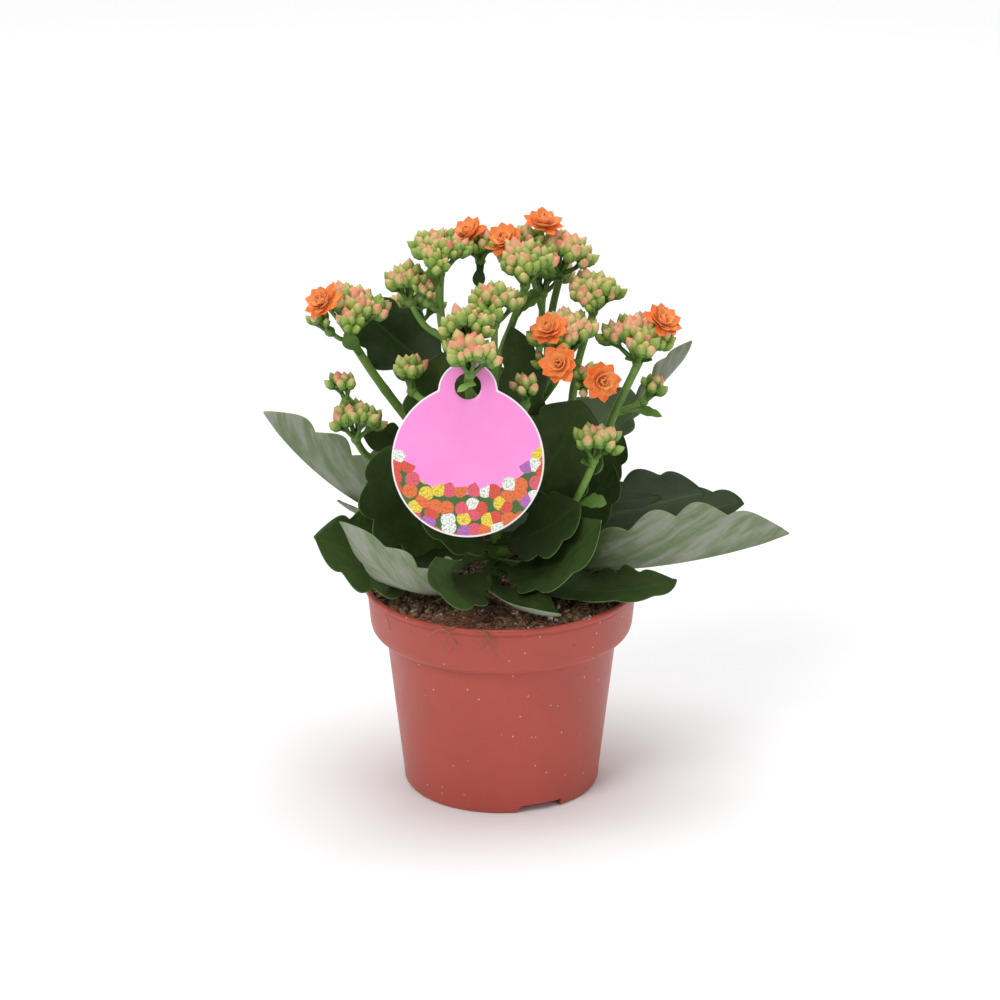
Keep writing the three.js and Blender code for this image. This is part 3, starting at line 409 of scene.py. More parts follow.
class Piece:
    """One object in the making: surfaces in millimetres, each with its finish and its values."""

    def __init__(self, name, *finishes):
        self.name, self.finishes, self.surfaces, self.count = name, finishes, [], 0

    def add(self, points, faces, finish=0, place=None, tone=0.5, grain=None):
        """One more surface. `place` and `grain` are three values a point, and `tone` is one."""
        size = len(points)
        blank = np.zeros((size, 3))
        self.surfaces.append((points, faces + self.count, np.full(len(faces), finish),
                              blank if place is None else place, blank if grain is None else grain,
                              np.broadcast_to(np.asarray(tone, float), (size,))))
        self.count += size

    def build(self, slot, *nodes):
        """The finished object: one smooth mesh that rides on the root and stands for `nodes`."""
        points, faces, kinds, place, grain, tone = map(np.concatenate, zip(*self.surfaces))
        whole = np.ones(faces.shape, bool)
        whole[:, 3] = faces[:, 3] != faces[:, 2]
        corners = faces[whole]
        totals = whole.sum(axis=1)
        mesh = bpy.data.meshes.new(self.name)
        mesh.vertices.add(len(points))
        mesh.loops.add(len(corners))
        mesh.polygons.add(len(faces))
        for target, label, values, kind in (
                (mesh.vertices, "co", points * MM, np.float32),
                (mesh.loops, "vertex_index", corners, np.int32),
                (mesh.polygons, "loop_start", np.cumsum(totals) - totals, np.int32),
                (mesh.polygons, "material_index", kinds, np.int32),
                (mesh.polygons, "use_smooth", np.ones(len(faces)), bool)):
            target.foreach_set(label, values.astype(kind).ravel())
        for label, kind, part, values in (("place", "FLOAT_VECTOR", "vector", place),
                                          ("grain", "FLOAT_VECTOR", "vector", grain),
                                          ("tone", "FLOAT", "value", tone)):
            kept = mesh.attributes.new(label, kind, "POINT")
            kept.data.foreach_set(part, values.astype(np.float32).ravel())
        mesh.update(calc_edges=True)
        mesh.validate()
        for finish in self.finishes:
            mesh.materials.append(finish)
        piece = put_in_scene(self.name, mesh)
        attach(piece, "root")
        if nodes:
            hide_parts(*nodes)
        return piece


# ---- shader nodes ----

def joined_by(operation):
    """A method that joins its value to another by a Math node."""
    return lambda self, other=0.0: self.nodes.maths(operation, self, other)


class Value:
    """An output of a node, with which sums can be written out. A comparison gives 1 or 0."""

    def __init__(self, nodes, socket):
        self.nodes, self.socket = nodes, socket

    __add__, __sub__, __mul__ = joined_by("ADD"), joined_by("SUBTRACT"), joined_by("MULTIPLY")
    __gt__, __lt__, __abs__ = joined_by("GREATER_THAN"), joined_by("LESS_THAN"), joined_by("ABSOLUTE")


class Nodes:
    """Short ways to add and join the nodes of one tree. Where a value is asked for, a number, a
    colour or another node's output will do."""

    def __init__(self, tree):
        self.tree = tree
        tree.nodes.clear()

    def add(self, kind, **values):
        """A node of `kind`. A value named as a socket goes to that socket, and any other is a
        setting of the node, which is made before the sockets are filled."""
        node = self.tree.nodes.new(kind)
        settings = [name for name in values
                    if hasattr(type(node), name) or name in node.bl_rna.properties]
        for name in settings:
            setattr(node, name, values[name])
        for name in values:
            if name not in settings:
                self.put(node, name, values[name])
        return node

    def out(self, kind, output=0, **values):
        """One output of a new node."""
        return Value(self, self.add(kind, **values).outputs[output])

    def put(self, node, name, value):
        """Sets the input called `name`, or numbered by it as in `i2`."""
        if name[0] == "i" and name[1:].isdigit():
            socket = node.inputs[int(name[1:])]
        else:
            socket = next(s for s in node.inputs if s.enabled and s.name.replace(" ", "_") == name)
        if isinstance(value, Value):
            value = value.socket
        if isinstance(value, bpy.types.NodeSocket):
            self.tree.links.new(value, socket)
        else:
            socket.default_value = (*value, 1) if socket.type == "RGBA" else value

    def maths(self, operation, a, b=0.0):
        """The output of one sum."""
        return self.out("ShaderNodeMath", operation=operation, i0=a, i1=b)

    def span(self, value, low, high, to_low=0.0, to_high=1.0):
        """`value` carried smoothly from low..high to to_low..to_high, and no further."""
        return self.out("ShaderNodeMapRange", interpolation_type="SMOOTHSTEP", i0=value, i1=low,
                        i2=high, i3=to_low, i4=to_high)

    def mix(self, share, a, b):
        """Colour a turning into colour b as `share` goes from 0 to 1."""
        return self.out("ShaderNodeMix", 2, data_type="RGBA", i0=share, i6=a, i7=b)

    def layers(self, colour, *layers):
        """A colour under layers of (share, colour)."""
        for share, over in layers:
            colour = self.mix(share, colour, over)
        return colour

    def ramp(self, value, stops, interpolation="LINEAR"):
        """Colours picked along stops of place and colour."""
        node = self.add("ShaderNodeValToRGB", i0=value)
        ramp = node.color_ramp
        ramp.interpolation = interpolation
        while len(ramp.elements) < len(stops):
            ramp.elements.new(0.5)
        for element, (at, colour) in zip(ramp.elements, stops.items()):
            element.position = at
            element.color = (*colour, 1)
        return Value(self, node.outputs[0])

    def noise(self, vector, scale, detail=3.0, roughness=0.55):
        """A noise value from 0 to 1."""
        return self.out("ShaderNodeTexNoise", Vector=vector, Scale=scale, Detail=detail,
                        Roughness=roughness)

    def kept(self, name, output="Fac"):
        """What the mesh keeps for each point under `name`."""
        return self.out("ShaderNodeAttribute", output, attribute_name=name)

    def axes(self, vector):
        """The three parts of a vector."""
        return [Value(self, part) for part in self.add("ShaderNodeSeparateXYZ", i0=vector).outputs]

    def vector(self, x, y, z):
        """A vector of three parts."""
        return self.out("ShaderNodeCombineXYZ", i0=x, i1=y, i2=z)


def group(name, make, **inputs):
    """A shader node group with one output, Mask, which `make` works out from the inputs. Each
    input is a number with the given default, or a vector where that is None."""
    tree = bpy.data.node_groups.new(name, "ShaderNodeTree")
    for label, default in inputs.items():
        kind = "NodeSocketVector" if default is None else "NodeSocketFloat"
        socket = tree.interface.new_socket(name=label, in_out="INPUT", socket_type=kind)
        if default is not None:
            socket.default_value = default
    tree.interface.new_socket(name="Mask", in_out="OUTPUT", socket_type="NodeSocketFloat")
    nodes = Nodes(tree)
    source = nodes.add("NodeGroupInput")
    mask = make(nodes, *(Value(nodes, source.outputs[label]) for label in inputs))
    nodes.add("NodeGroupOutput", i0=mask)
    return tree


def make_mottle(nodes, vector, scale):
    """Soft blotches with finer ones inside them: a wide noise, and half as much of one five
    times finer."""
    total = nodes.noise(vector, scale, 2.0) * 0.67 + nodes.noise(vector, scale * 5.0) * 0.33
    return nodes.span(total, 0.36, 0.64)


def make_specks(nodes, vector, scale, share):
    """Sparse specks: the middle of each cell of a Voronoi pattern, kept in the few cells whose
    own random number is below the share."""
    cells = nodes.add("ShaderNodeTexVoronoi", Vector=vector, Scale=scale).outputs
    chosen = nodes.axes(cells["Color"])[0] < share
    return chosen * nodes.span(cells["Distance"], 0.12, 0.34, 1.0, 0.0)


def make_streaks(nodes, along, across, count, seed):
    """Streaks that run one way: a noise stretched along and squeezed across, and less of one
    four times finer."""
    where = nodes.vector(across * count, along * 1.4, seed)
    return nodes.span(nodes.noise(where, 1.0, 2.0) * 0.7 + nodes.noise(where, 4.0) * 0.3, 0.38, 0.62)


MOTTLE = group("mottle", make_mottle, Vector=None, Scale=100.0)
SPECKS = group("specks", make_specks, Vector=None, Scale=400.0, Share=0.1)
STREAKS = group("streaks", make_streaks, Along=0.0, Across=0.0, Count=4.0, Seed=0.0)


class Finish(Nodes):
    """A material in the making, with one Principled shader whose plain values are given."""

    def __init__(self, name, **plain):
        self.material = bpy.data.materials.new(name)
        self.material.use_nodes = True
        super().__init__(self.material.node_tree)
        self.shader = self.add("ShaderNodeBsdfPrincipled", **plain)
        self.add("ShaderNodeOutputMaterial", Surface=self.shader.outputs[0])
        self.where = self.out("ShaderNodeTexCoord", "Object")

    def use(self, tree, **values):
        """The mask of a node group with its own values."""
        node = self.add("ShaderNodeGroup", node_tree=tree)
        for name, value in values.items():
            self.put(node, name, value)
        return Value(self, node.outputs[0])

    def mottle(self, scale):
        """Soft blotches through the object's own space."""
        return self.use(MOTTLE, Vector=self.where, Scale=scale)

    def specks(self, scale, share):
        """Sparse specks through the object's own space."""
        return self.use(SPECKS, Vector=self.where, Scale=scale, Share=share)

    def cloud(self, scale, detail=3.0, roughness=0.55):
        """A noise through the object's own space."""
        return self.noise(self.where, scale, detail, roughness)

    def done(self, colour, roughness, *relief):
        """The material with its colour, its roughness and any relief, which is a height between 0
        and 1, how strong it is and how deep in metres."""
        self.put(self.shader, "Base_Color", colour)
        self.put(self.shader, "Roughness", roughness)
        if relief:
            height, strength, depth = relief
            self.put(self.shader, "Normal", self.out("ShaderNodeBump", Strength=strength, Distance=depth,
                                                     Height=height))
        return self.material


def pot_finish():
    """Satin terracotta plastic: slow colour drift, faint scuffs, and specks of dust and peat."""
    f = Finish("pot_terracotta")
    drift = f.mottle(28.0)
    near_rim = f.span(f.axes(f.where)[2], 0.02, 0.09, 0.25, 1.0)
    colour = f.layers(f.mix(drift, (0.385, 0.056, 0.036), (0.425, 0.064, 0.041)),
                      (f.specks(620.0, 0.030) * 0.55, (0.80, 0.62, 0.55)),
                      (f.specks(520.0, 0.016) * near_rim, (0.10, 0.035, 0.022)))
    return f.done(colour, f.span(drift, 0.0, 1.0, 0.36, 0.46), f.cloud(900.0, 2.0), 0.08, 0.0001)


def peat_finish():
    """Damp peat: dark browns broken by lighter fibre and a few pale grains."""
    f = Finish("peat")
    coarse = f.cloud(260.0, 5.0, 0.7)
    base = f.ramp(coarse, {0.30: (0.028, 0.018, 0.013), 0.44: (0.15, 0.089, 0.055),
                           0.56: (0.35, 0.205, 0.115), 0.70: (0.58, 0.39, 0.23)})
    return f.done(f.mix(f.specks(420.0, 0.14) * 0.8, base, (0.42, 0.34, 0.24)),
                  f.span(coarse, 0.3, 0.7, 0.6, 0.95), f.cloud(700.0, 4.0), 0.9, 0.0008)


def crumb_finish():
    """Loose crumbs: one brown each, from near black through red-brown to straw."""
    f = Finish("peat_crumbs")
    grain = f.cloud(900.0)
    base = f.ramp(f.kept("tone"), {
        0.0: (0.032, 0.021, 0.015), 0.25: (0.13, 0.078, 0.048), 0.5: (0.34, 0.195, 0.11),
        0.80: (0.38, 0.22, 0.13), 0.92: (0.60, 0.46, 0.30), 1.0: (0.84, 0.78, 0.70)})
    return f.done(f.mix(f.span(grain, 0.4, 0.75, 0.0, 0.5), base, (0.020, 0.013, 0.010)),
                  f.span(grain, 0.3, 0.7, 0.65, 0.95), grain, 0.8, 0.0005)


def fibre_finish():
    """Dry roots and wood fibres, red-brown to straw."""
    f = Finish("fibres")
    grain = f.cloud(700.0)
    base = f.ramp(f.kept("tone"), {0.0: (0.24, 0.10, 0.055), 0.6: (0.44, 0.20, 0.11),
                                   1.0: (0.68, 0.48, 0.30)})
    return f.done(f.mix(f.span(grain, 0.4, 0.7, 0.0, 0.4), base, (0.10, 0.045, 0.028)),
                  f.span(grain, 0.3, 0.7, 0.55, 0.8), grain, 0.5, 0.0003)


def stem_finish():
    """Waxy green skin of stalks, bracts and calyces, with a slow drift. `tone` turns it from near
    black green at -0.5 to dark green at 0 and pale green at 1. The near black green is painted
    shade on the pedicels inside a head and on the bract that hangs under one. A calyx is darker
    towards its foot."""
    f = Finish("stem_green", Specular_IOR_Level=0.3)
    drift, tone = f.mottle(90.0), f.kept("tone")
    # deep is a near black green that only negative tones reach: painted shade.
    deep = f.mix(drift, (0.022, 0.060, 0.008), (0.034, 0.085, 0.012))
    dark = f.mix(drift, (0.066, 0.145, 0.020), (0.092, 0.190, 0.028))
    pale = f.mix(drift, (0.21, 0.37, 0.065), (0.29, 0.47, 0.105))
    return f.done(f.mix(f.span(tone, -0.5, 0.0, 1.0, 0.0), f.mix(tone, dark, pale), deep),
                  f.span(drift, 0.0, 1.0, 0.38, 0.5), f.cloud(800.0, 2.0), 0.1, 0.0001)


def leaf_finish():
    """A fleshy leaf. `place` holds how far along, how far across and which face, `grain` the
    millimetres across and along and the leaf's own number, `tone` how light its green is; on the
    behind_ear, tall and wide leaves this lighter green is partly painted sheen. The top is deep satin
    green with a faintly paler midrib. The underside is grey-green from a little way off the stem,
    with broad silver streaks that slant off the midrib. The margin is pale."""
    f = Finish("leaf", Specular_IOR_Level=0.12)
    along, across, face = f.axes(f.kept("place", "Vector"))
    wide, long, number = f.axes(f.kept("grain", "Vector"))
    tone, drift, fine = f.kept("tone"), f.mottle(55.0), f.mottle(420.0)
    off_midrib = abs(across)
    deep = f.mix(tone, (0.011, 0.027, 0.005), (0.036, 0.062, 0.016))
    # light: the lighter green, which on some leaves is partly painted sheen.
    light = f.mix(tone, (0.020, 0.041, 0.008), (0.060, 0.104, 0.026))
    top = f.layers(deep, (drift * 0.75 + fine * 0.25, light),
                   (f.span(off_midrib, 0.0, 0.06, 0.35, 0.0), (0.060, 0.125, 0.022)))
    slant = abs(wide) - long * 0.36 + f.cloud(38.0, 2.0) * 6.0
    streak = f.use(STREAKS, Along=long * 0.02, Across=slant, Count=0.17,
                   Seed=number + (wide > 0.0) * 5.3)
    base = f.span(along + (f.cloud(60.0) - 0.5) * 0.22 - off_midrib * 0.12, 0.27, 0.40)
    under = f.layers(f.mix(base, (0.070, 0.120, 0.038), (0.155, 0.215, 0.105)),
                     ((streak * 0.85 + fine * 0.15) * (base * 0.9), (0.315, 0.325, 0.275)),
                     (f.span(off_midrib, 0.0, 0.05, 0.3, 0.0), (0.28, 0.33, 0.19)))
    colour = f.layers(under, (f.span(face, -0.2, 0.2), top),
                      (f.span(off_midrib, 0.955, 1.0, 0.0, 0.6), (0.20, 0.30, 0.10)))
    return f.done(colour, f.span(face, -0.2, 0.2, 0.62, 0.36) + drift * 0.10,
                  f.cloud(500.0) * 0.3 + f.cloud(90.0, 2.0) * 0.7, 0.2, 0.0006)


def bud_finish():
    """Rolled petals of a bud. `place` holds how far along and the petal folds, `tone` how ripe it
    is. Both together pick the colour: deep green low on a green bud, then yellow-green, cream and
    salmon towards the tip of a ripe one. Faint lines run along the folds."""
    f = Finish("bud", Specular_IOR_Level=0.3)
    along, _, fold = f.axes(f.kept("place", "Vector"))
    drift = f.mottle(260.0)
    ripe = along * 0.85 + (f.kept("tone") * 0.80 + drift * 0.12)
    petal = f.ramp(ripe * 0.55, {
        0.28: (0.15, 0.27, 0.040), 0.46: (0.25, 0.38, 0.070), 0.58: (0.42, 0.47, 0.13),
        0.66: (0.70, 0.50, 0.23), 0.73: (0.78, 0.36, 0.22), 0.87: (0.74, 0.24, 0.16)})
    lines = f.span(abs(fold), 0.0, 0.25, 0.16, 0.0)
    return f.done(f.mix(lines, petal, (0.46, 0.26, 0.09)), f.span(drift, 0.0, 1.0, 0.40, 0.52),
                  abs(fold), 0.35, 0.0003)


def petal_finish():
    """An open petal. `place` holds how far along, how far across and which face, `tone` how far
    out its whorl is: vermilion over the blade of an outer petal, orange on an inner one, redder at
    the foot and the tip, paler along fine veins, with a thin light rim; the back is salmon."""
    f = Finish("petal", Specular_IOR_Level=0.3)
    along, across, face = f.axes(f.kept("place", "Vector"))
    tone = f.kept("tone")
    veins = f.use(STREAKS, Along=along, Across=across, Count=7.0, Seed=tone * 40.0)
    colour = f.layers(f.mix(tone, (1.0, 0.56, 0.19), (1.0, 0.28, 0.060)),
                      (veins * 0.3, (1.0, 0.50, 0.15)),
                      (f.span(along, 0.05, 0.45, 0.9, 0.0), (0.90, 0.22, 0.035)),
                      (f.span(along, 0.62, 1.0, 0.0, 0.6), (0.92, 0.12, 0.026)),
                      (f.span(abs(across), 0.90, 1.0, 0.0, 0.5), (0.98, 0.42, 0.12)),
                      (f.span(face, -0.2, 0.2, 0.5, 0.0), (0.95, 0.42, 0.20)))
    return f.done(colour, f.span(veins, 0.0, 1.0, 0.46, 0.56), veins, 0.25, 0.0002)


def heart_finish():
    """The middle of a bloom: green-yellow carpels with darker dots."""
    f = Finish("bloom_heart")
    drift = f.mottle(500.0)
    base = f.mix(drift, (0.55, 0.50, 0.08), (0.36, 0.42, 0.08))
    return f.done(f.mix(f.specks(1800.0, 0.5), base, (0.25, 0.10, 0.02)),
                  f.span(drift, 0.0, 1.0, 0.5, 0.6))


def tag_finish():
    """Coated pink card. `place` holds how far right and up in tag radii and the face, `tone` the
    distance from the edge in centimetres. A thin rim is white. Cells of a Voronoi pattern whose
    middle lies outside a circle above the tag's middle are round clusters of tiny blossoms, one
    colour each, over dark foliage, which also fills what lies outside a wider circle. Together
    they are a crescent along the lower edge. The back is white."""
    f = Finish("tag_print", Coat_Weight=0.3, Coat_Roughness=0.12)
    right, up, face = f.axes(f.kept("place", "Vector"))
    flat = f.vector(right, up, 0.0)
    clusters, florets = (
        f.add("ShaderNodeTexVoronoi", voronoi_dimensions="2D", Vector=flat, Scale=scale,
              Randomness=randomness).outputs for scale, randomness in ((6.2, 0.8), (38.0, 1.0)))
    near = Value(f, clusters["Distance"])
    hue = f.ramp(f.axes(clusters["Color"])[0], {
        0.0: (0.80, 0.075, 0.055), 0.26: (0.88, 0.17, 0.05), 0.44: (0.90, 0.92, 0.86),
        0.60: (0.86, 0.10, 0.17), 0.76: (0.92, 0.68, 0.07), 0.90: (0.52, 0.14, 0.56)}, "CONSTANT")
    blossom = f.mix(f.span(florets["Distance"], 0.25, 0.70, 1.0, 0.55), (0.07, 0.12, 0.03), hue)
    leafy = f.mix(f.noise(flat, 30.0, 2.0), (0.03, 0.085, 0.02), (0.09, 0.19, 0.05))

    def outside(x, y, radius):
        """1 outside a circle whose middle lies above the tag's."""
        rise = y - PRINT_CIRCLE_RISE
        return f.maths("SQRT", x * x + rise * rise) > radius

    x, y, _ = f.axes(clusters["Position"])
    crescent = f.maths("MAXIMUM", outside(x, y, 1.06) * (near < 0.60), outside(right, up, 1.12))
    front = f.layers(f.mix(f.noise(flat, 2.2, 1.0), (0.96, 0.26, 0.66), (0.98, 0.33, 0.73)),
                     (crescent, f.mix(f.span(near, 0.56, 0.64), blossom, leafy)),
                     (f.span(f.kept("tone"), 0.060, 0.078, 1.0, 0.0), (0.93, 0.86, 0.91)))
    back = f.mix(f.noise(flat, 3.0, 2.0), (0.86, 0.85, 0.84), (0.90, 0.89, 0.88))
    return f.done(f.mix(face > 0.6, back, front), f.span(f.noise(flat, 8.0, 2.0), 0.3, 0.7, 0.38, 0.48),
                  f.noise(flat, 60.0, 2.0), 0.05, 0.0001)


def floor_finish():
    """A plain pale floor with hardly any drift."""
    f = Finish("floor_pale")
    drift = f.cloud(2.0, 2.0)
    return f.done(f.mix(drift, (0.94, 0.94, 0.945), (0.96, 0.96, 0.965)),
                  f.span(drift, 0.0, 1.0, 0.7, 0.8))


POT_PLASTIC = pot_finish()
PEAT = peat_finish()
CRUMBS = crumb_finish()
FIBRES = fibre_finish()
STEM = stem_finish()
LEAF = leaf_finish()
BUD = bud_finish()
PETAL = petal_finish()
HEART = heart_finish()
TAG_PRINT = tag_finish()
FLOOR = floor_finish()


# ---- pot ----

def rounded(profile, radius, steps=4):
    """A profile whose inner corners are rounded: each corner becomes a quadratic curve between
    points `radius` before and after it, or a third of the side where that is shorter."""
    p = np.asarray(profile, float)
    before, corner, after = p[:-2], p[1:-1], p[2:]

    def towards(other):
        """The point on the way from each corner to a neighbour where the rounding starts."""
        reach = np.minimum(radius, np.linalg.norm(other - corner, axis=1) / 3)[:, None]
        return corner + unit(other - corner) * reach

    arcs = curve(towards(before)[:, None], corner[:, None], towards(after)[:, None],
                 np.linspace(0, 1, steps)[None, :, None])
    return np.vstack([p[:1], arcs.reshape(-1, 2), p[-1:]])


def inner_radius(z):
    """The pot's inner radius at height z, on a straight taper."""
    return FOOT_RADIUS - WALL + (NECK_RADIUS - FOOT_RADIUS) / STEP * z


def notch_lift(angles, half, slope):
    """The foot ring's height at each angle in degrees: in a notch one side is square, and the
    other rises over `slope` degrees."""
    lift = np.zeros(len(angles))
    for notch in NOTCH_ANGLES:
        off = (angles - (notch - 90) + 180) % 360 - 180
        inside = np.clip((off + half) / slope, 0, 1) * (off <= half - 0.04) * (off > -half)
        lift = np.maximum(lift, FOOT_LIFT * inside)
    return lift


def make_pot():
    """The pot: a rounded profile turned about the axis, whose collar ends in a quarter of an
    ellipse (sin q, 1 - cos q) under a fine line. Each point of the foot ring is raised to
    at least the notch's height at its angle, and drains are bored through the floor."""
    quarter = np.linspace(0, np.pi / 2, 9)
    shoulder = [(NECK_RADIUS + 0.2 + (COLLAR_RADIUS + 1.55 - NECK_RADIUS) * math.sin(q),
                 STEP - 2.0 + 4.9 * (1 - math.cos(q))) for q in quarter]
    foot = [(FOOT_RADIUS + r, z) for r, z in (
        (-3.4, FOOT_LIFT), (-2.4, 0), (-0.6, 0), (0, 0.9), (0.30, 3.3), (0.25, 3.9))]
    lip = [(RIM_RADIUS - r, POT_HEIGHT - z) for r, z in (
        (1.55, 4.0), (1.75, 3.3), (1.0, 2.9), (0, 1.9), (0.2, 0.5), (0.8, 0), (1.8, 0), (2.5, 0.8), (2.9, 4))]
    profile = rounded([
        (0, 0), (13, 0), (15, FOOT_LIFT), *foot, (NECK_RADIUS, STEP - 2.1), *shoulder,
        (COLLAR_RADIUS + 1.9, STEP + 3.1), *lip, (COLLAR_RADIUS + 0.4, STEP + 4.6),
        (inner_radius(STEP), STEP + 0.4), (inner_radius(FLOOR_TOP), FLOOR_TOP), (0, FLOOR_TOP),
    ], 0.5)
    half, slope = (math.degrees(math.asin(width / FOOT_RADIUS)) for width in (NOTCH_HALF, NOTCH_SLOPE))
    edges = np.array([-half, -half + slope, half - 0.05, half + 0.05])
    angles = np.unique(np.round(np.concatenate(
        [np.arange(0, 360, 2.0)] + [(edges + a - 90) % 360 for a in NOTCH_ANGLES]), 4))
    r, z = profile[1:-1, :1], profile[1:-1, 1:]
    in_foot = (r > 30) & (z < FOOT_LIFT + 0.5)
    heights = np.where(in_foot, np.maximum(z, notch_lift(angles, half, slope)[None]), z)
    points = turned(r, np.radians(angles), heights).reshape(-1, 3)
    pot = Piece("pot_body", POT_PLASTIC)
    pot.add(np.vstack([points, [[0, 0, 0], [0, 0, FLOOR_TOP]]]), skin_faces(len(r), len(angles)))
    body = pot.build("pot", "pot")
    holes = turned(DRAIN_CIRCLE, np.arange(DRAINS) * np.pi / 3, 1.5)
    drill = Piece("drill", POT_PLASTIC)
    drill.add(*bodies(holes[:, None] + np.linspace(0, 6, 3)[None, :, None] * UP, DRAIN_RADIUS, 24)[:2])
    cutter = drill.build("pot")
    bore = body.modifiers.new("drains", "BOOLEAN")
    bore.operation = "DIFFERENCE"
    bore.solver = "EXACT"
    bore.object = cutter
    drilled = bpy.data.meshes.new_from_object(body.evaluated_get(bpy.context.evaluated_depsgraph_get()))
    body.modifiers.clear()
    body.data = drilled
    bpy.data.objects.remove(cutter)


# ---- soil ----

def soil_height(x, y):
    """Height of the loose surface: a low crown, two crossed waves of clods, a heap at the right
    back, and finer lumps."""
    reach = np.hypot(x, y) / (RIM_RADIUS - 3)
    crown = SOIL_EDGE + (SOIL_CROWN - SOIL_EDGE) * (1 - reach * reach)
    clods = 0.7 * np.sin(0.31 * x + 1.3) * np.cos(0.27 * y) + 0.4 * np.sin(0.7 * x - 0.6 * y)
    heap = 2 * np.exp(-((x - 44)**2 + (y - 22)**2) / 200)
    flat = vectors(x, y, 0.0).reshape(-1, 3)
    lumps = 0.55 * ripple(flat, COARSE_SEED, 4.5) + 0.30 * ripple(flat, FINE_SEED, 2.0)
    return crown + clods + heap + lumps.reshape(np.shape(x))


def make_soil():
    """The fill: a disc of rings whose heights are the loose surface, with a wall down to the
    pot's floor."""
    rings = np.linspace(0.5, RIM_RADIUS - 3.5, 60)
    a = np.linspace(0, 2 * np.pi, 200, endpoint=False)
    x, y = rings[:, None] * np.cos(a), rings[:, None] * np.sin(a)
    wall = [(RIM_RADIUS - 4.3, SOIL_EDGE - 2), (COLLAR_RADIUS - 0.4, STEP + 5.2),
            (inner_radius(STEP) - 0.4, STEP + 0.4), (inner_radius(FLOOR_TOP) - 0.4, FLOOR_TOP + 0.4)]
    rows = np.concatenate([vectors(x, y, soil_height(x, y)), [turned(r, a, z) for r, z in wall]])[::-1]
    poles = [[0, 0, FLOOR_TOP + 0.4], [0, 0, soil_height(0.0, 0.0)]]
    soil = Piece("soil_fill", PEAT)
    soil.add(np.vstack([rows.reshape(-1, 3), poles]), skin_faces(len(rows), len(a)))
    soil.build("soil", "soil")


def scatter_disc(rng, count, reach):
    """Even random points over a disc."""
    r = reach * np.sqrt(rng.uniform(0, 1, count))
    a = rng.uniform(0, 2 * np.pi, count)
    return r * np.cos(a), r * np.sin(a)


def make_crumbs():
    """Loose crumbs: small bodies of five rings with five sides, each ring's radius drawn at
    random, half sunk in the surface, and a few larger pale grains."""
    rng = np.random.default_rng(CRUMBS_SEED)
    count = CRUMBS_COUNT
    x, y = scatter_disc(rng, count, SOIL_REACH)
    size = rng.gamma(2.2, 0.32, count) + 0.35
    pale = rng.uniform(0, 1, count) < 0.11
    size = np.minimum(np.where(pale, size * 0.8 + 0.3, size), 2.4)
    middle = vectors(x, y, soil_height(x, y) + size * 0.25)
    way = unit(rng.normal(size=(count, 3)) * (1, 1, 0.5))
    share = np.linspace(-1, 1, 5)[None, :, None]
    long = rng.uniform(0.7, 1.7, count)[:, None, None]
    paths = middle[:, None] + way[:, None] * share * (size[:, None, None] * long * 0.8)
    profile = np.array([0.45, 0.9, 1.0, 0.85, 0.4])[None, :, None]
    radii = profile * size[:, None, None] * rng.uniform(0.7, 1.15, (count, 5, 5)) * 0.75
    points, faces, body = bodies(paths, radii, 5)
    tone = np.where(pale, rng.uniform(0.88, 1.0, count), rng.beta(1.3, 2.2, count) * 0.88)
    crumbs = Piece("soil_crumbs", CRUMBS)
    crumbs.add(points, faces, tone=tone[body])
    crumbs.build("soil")


def add_threads(piece, rng, paths, thin, thick, palest):
    """Thin bodies along paths, each with one thickness and one tone drawn at random."""
    count = len(paths)
    points, faces, body = bodies(paths, rng.uniform(thin, thick, count)[:, None], 4)
    piece.add(points, faces, tone=rng.uniform(0, palest, count)[body])


def lying_fibres(rng, count):
    """Paths of wood fibres on the surface: straight lines bent sideways by random steps, pushed
    back inside the rim and arched a little off the soil."""
    x, y = scatter_disc(rng, count, RIM_RADIUS - 5)
    way = rng.uniform(0, 2 * np.pi, count)[:, None]
    length = rng.uniform(2.5, 9, count)[:, None]
    share = np.linspace(-0.5, 0.5, 6)
    bend = np.cumsum(rng.normal(0, 0.35, (count, 6)), axis=1)
    px = x[:, None] + length * share * np.cos(way) - bend * np.sin(way)
    py = y[:, None] + length * share * np.sin(way) + bend * np.cos(way)
    shrink = np.minimum(1, SOIL_REACH / np.hypot(px, py))
    px, py = px * shrink, py * shrink
    arch = rng.uniform(0, 1.2, (count, 1)) * (1 - (2 * share)**2)
    return vectors(px, py, soil_height(px, py) + 0.5 + arch)


def front_roots(rng, count):
    """Paths of a mat of roots at the front left: each wanders outwards over the soil in a low
    sine arch, and one in nine goes on over the rim and hangs down outside it."""
    start = -1.81 + 0.30 * np.clip(rng.normal(0, 0.6, count), -1.6, 1.4)
    out = rng.uniform(40, RIM_RADIUS - 5, count)
    rise = rng.uniform(0.4, 2.6, count)[:, None]
    t = np.linspace(0, 1, 8)
    a = start[:, None] + np.cumsum(rng.normal(0, 0.045, (count, 8)), axis=1)
    over = rng.uniform(0, 1, count) < 0.11
    far = np.where(over, RIM_RADIUS + 0.9, out + rng.uniform(-6, 8, count))
    far = np.where(over, far, np.minimum(far, RIM_RADIUS - 3.8))
    r = out[:, None] + (far - out)[:, None] * np.minimum(t * 1.7, 1)
    z = (soil_height(r * np.cos(a), r * np.sin(a)) + 0.3
         + rise * np.sin(np.pi * np.minimum(t * 1.25, 1))**0.8)
    hang = rng.uniform(2, 12, count)[:, None] * np.clip((t - 0.55) / 0.45, 0, 1)**1.3
    lipped = POT_HEIGHT + 0.5 + 0.9 * np.sin(np.pi * np.clip(t / 0.6, 0, 1)) - hang
    outside = np.where(r > RIM_RADIUS - 4, lipped, np.maximum(z, SOIL_EDGE + 1))
    return turned(r, a, np.where(over[:, None], outside, z))


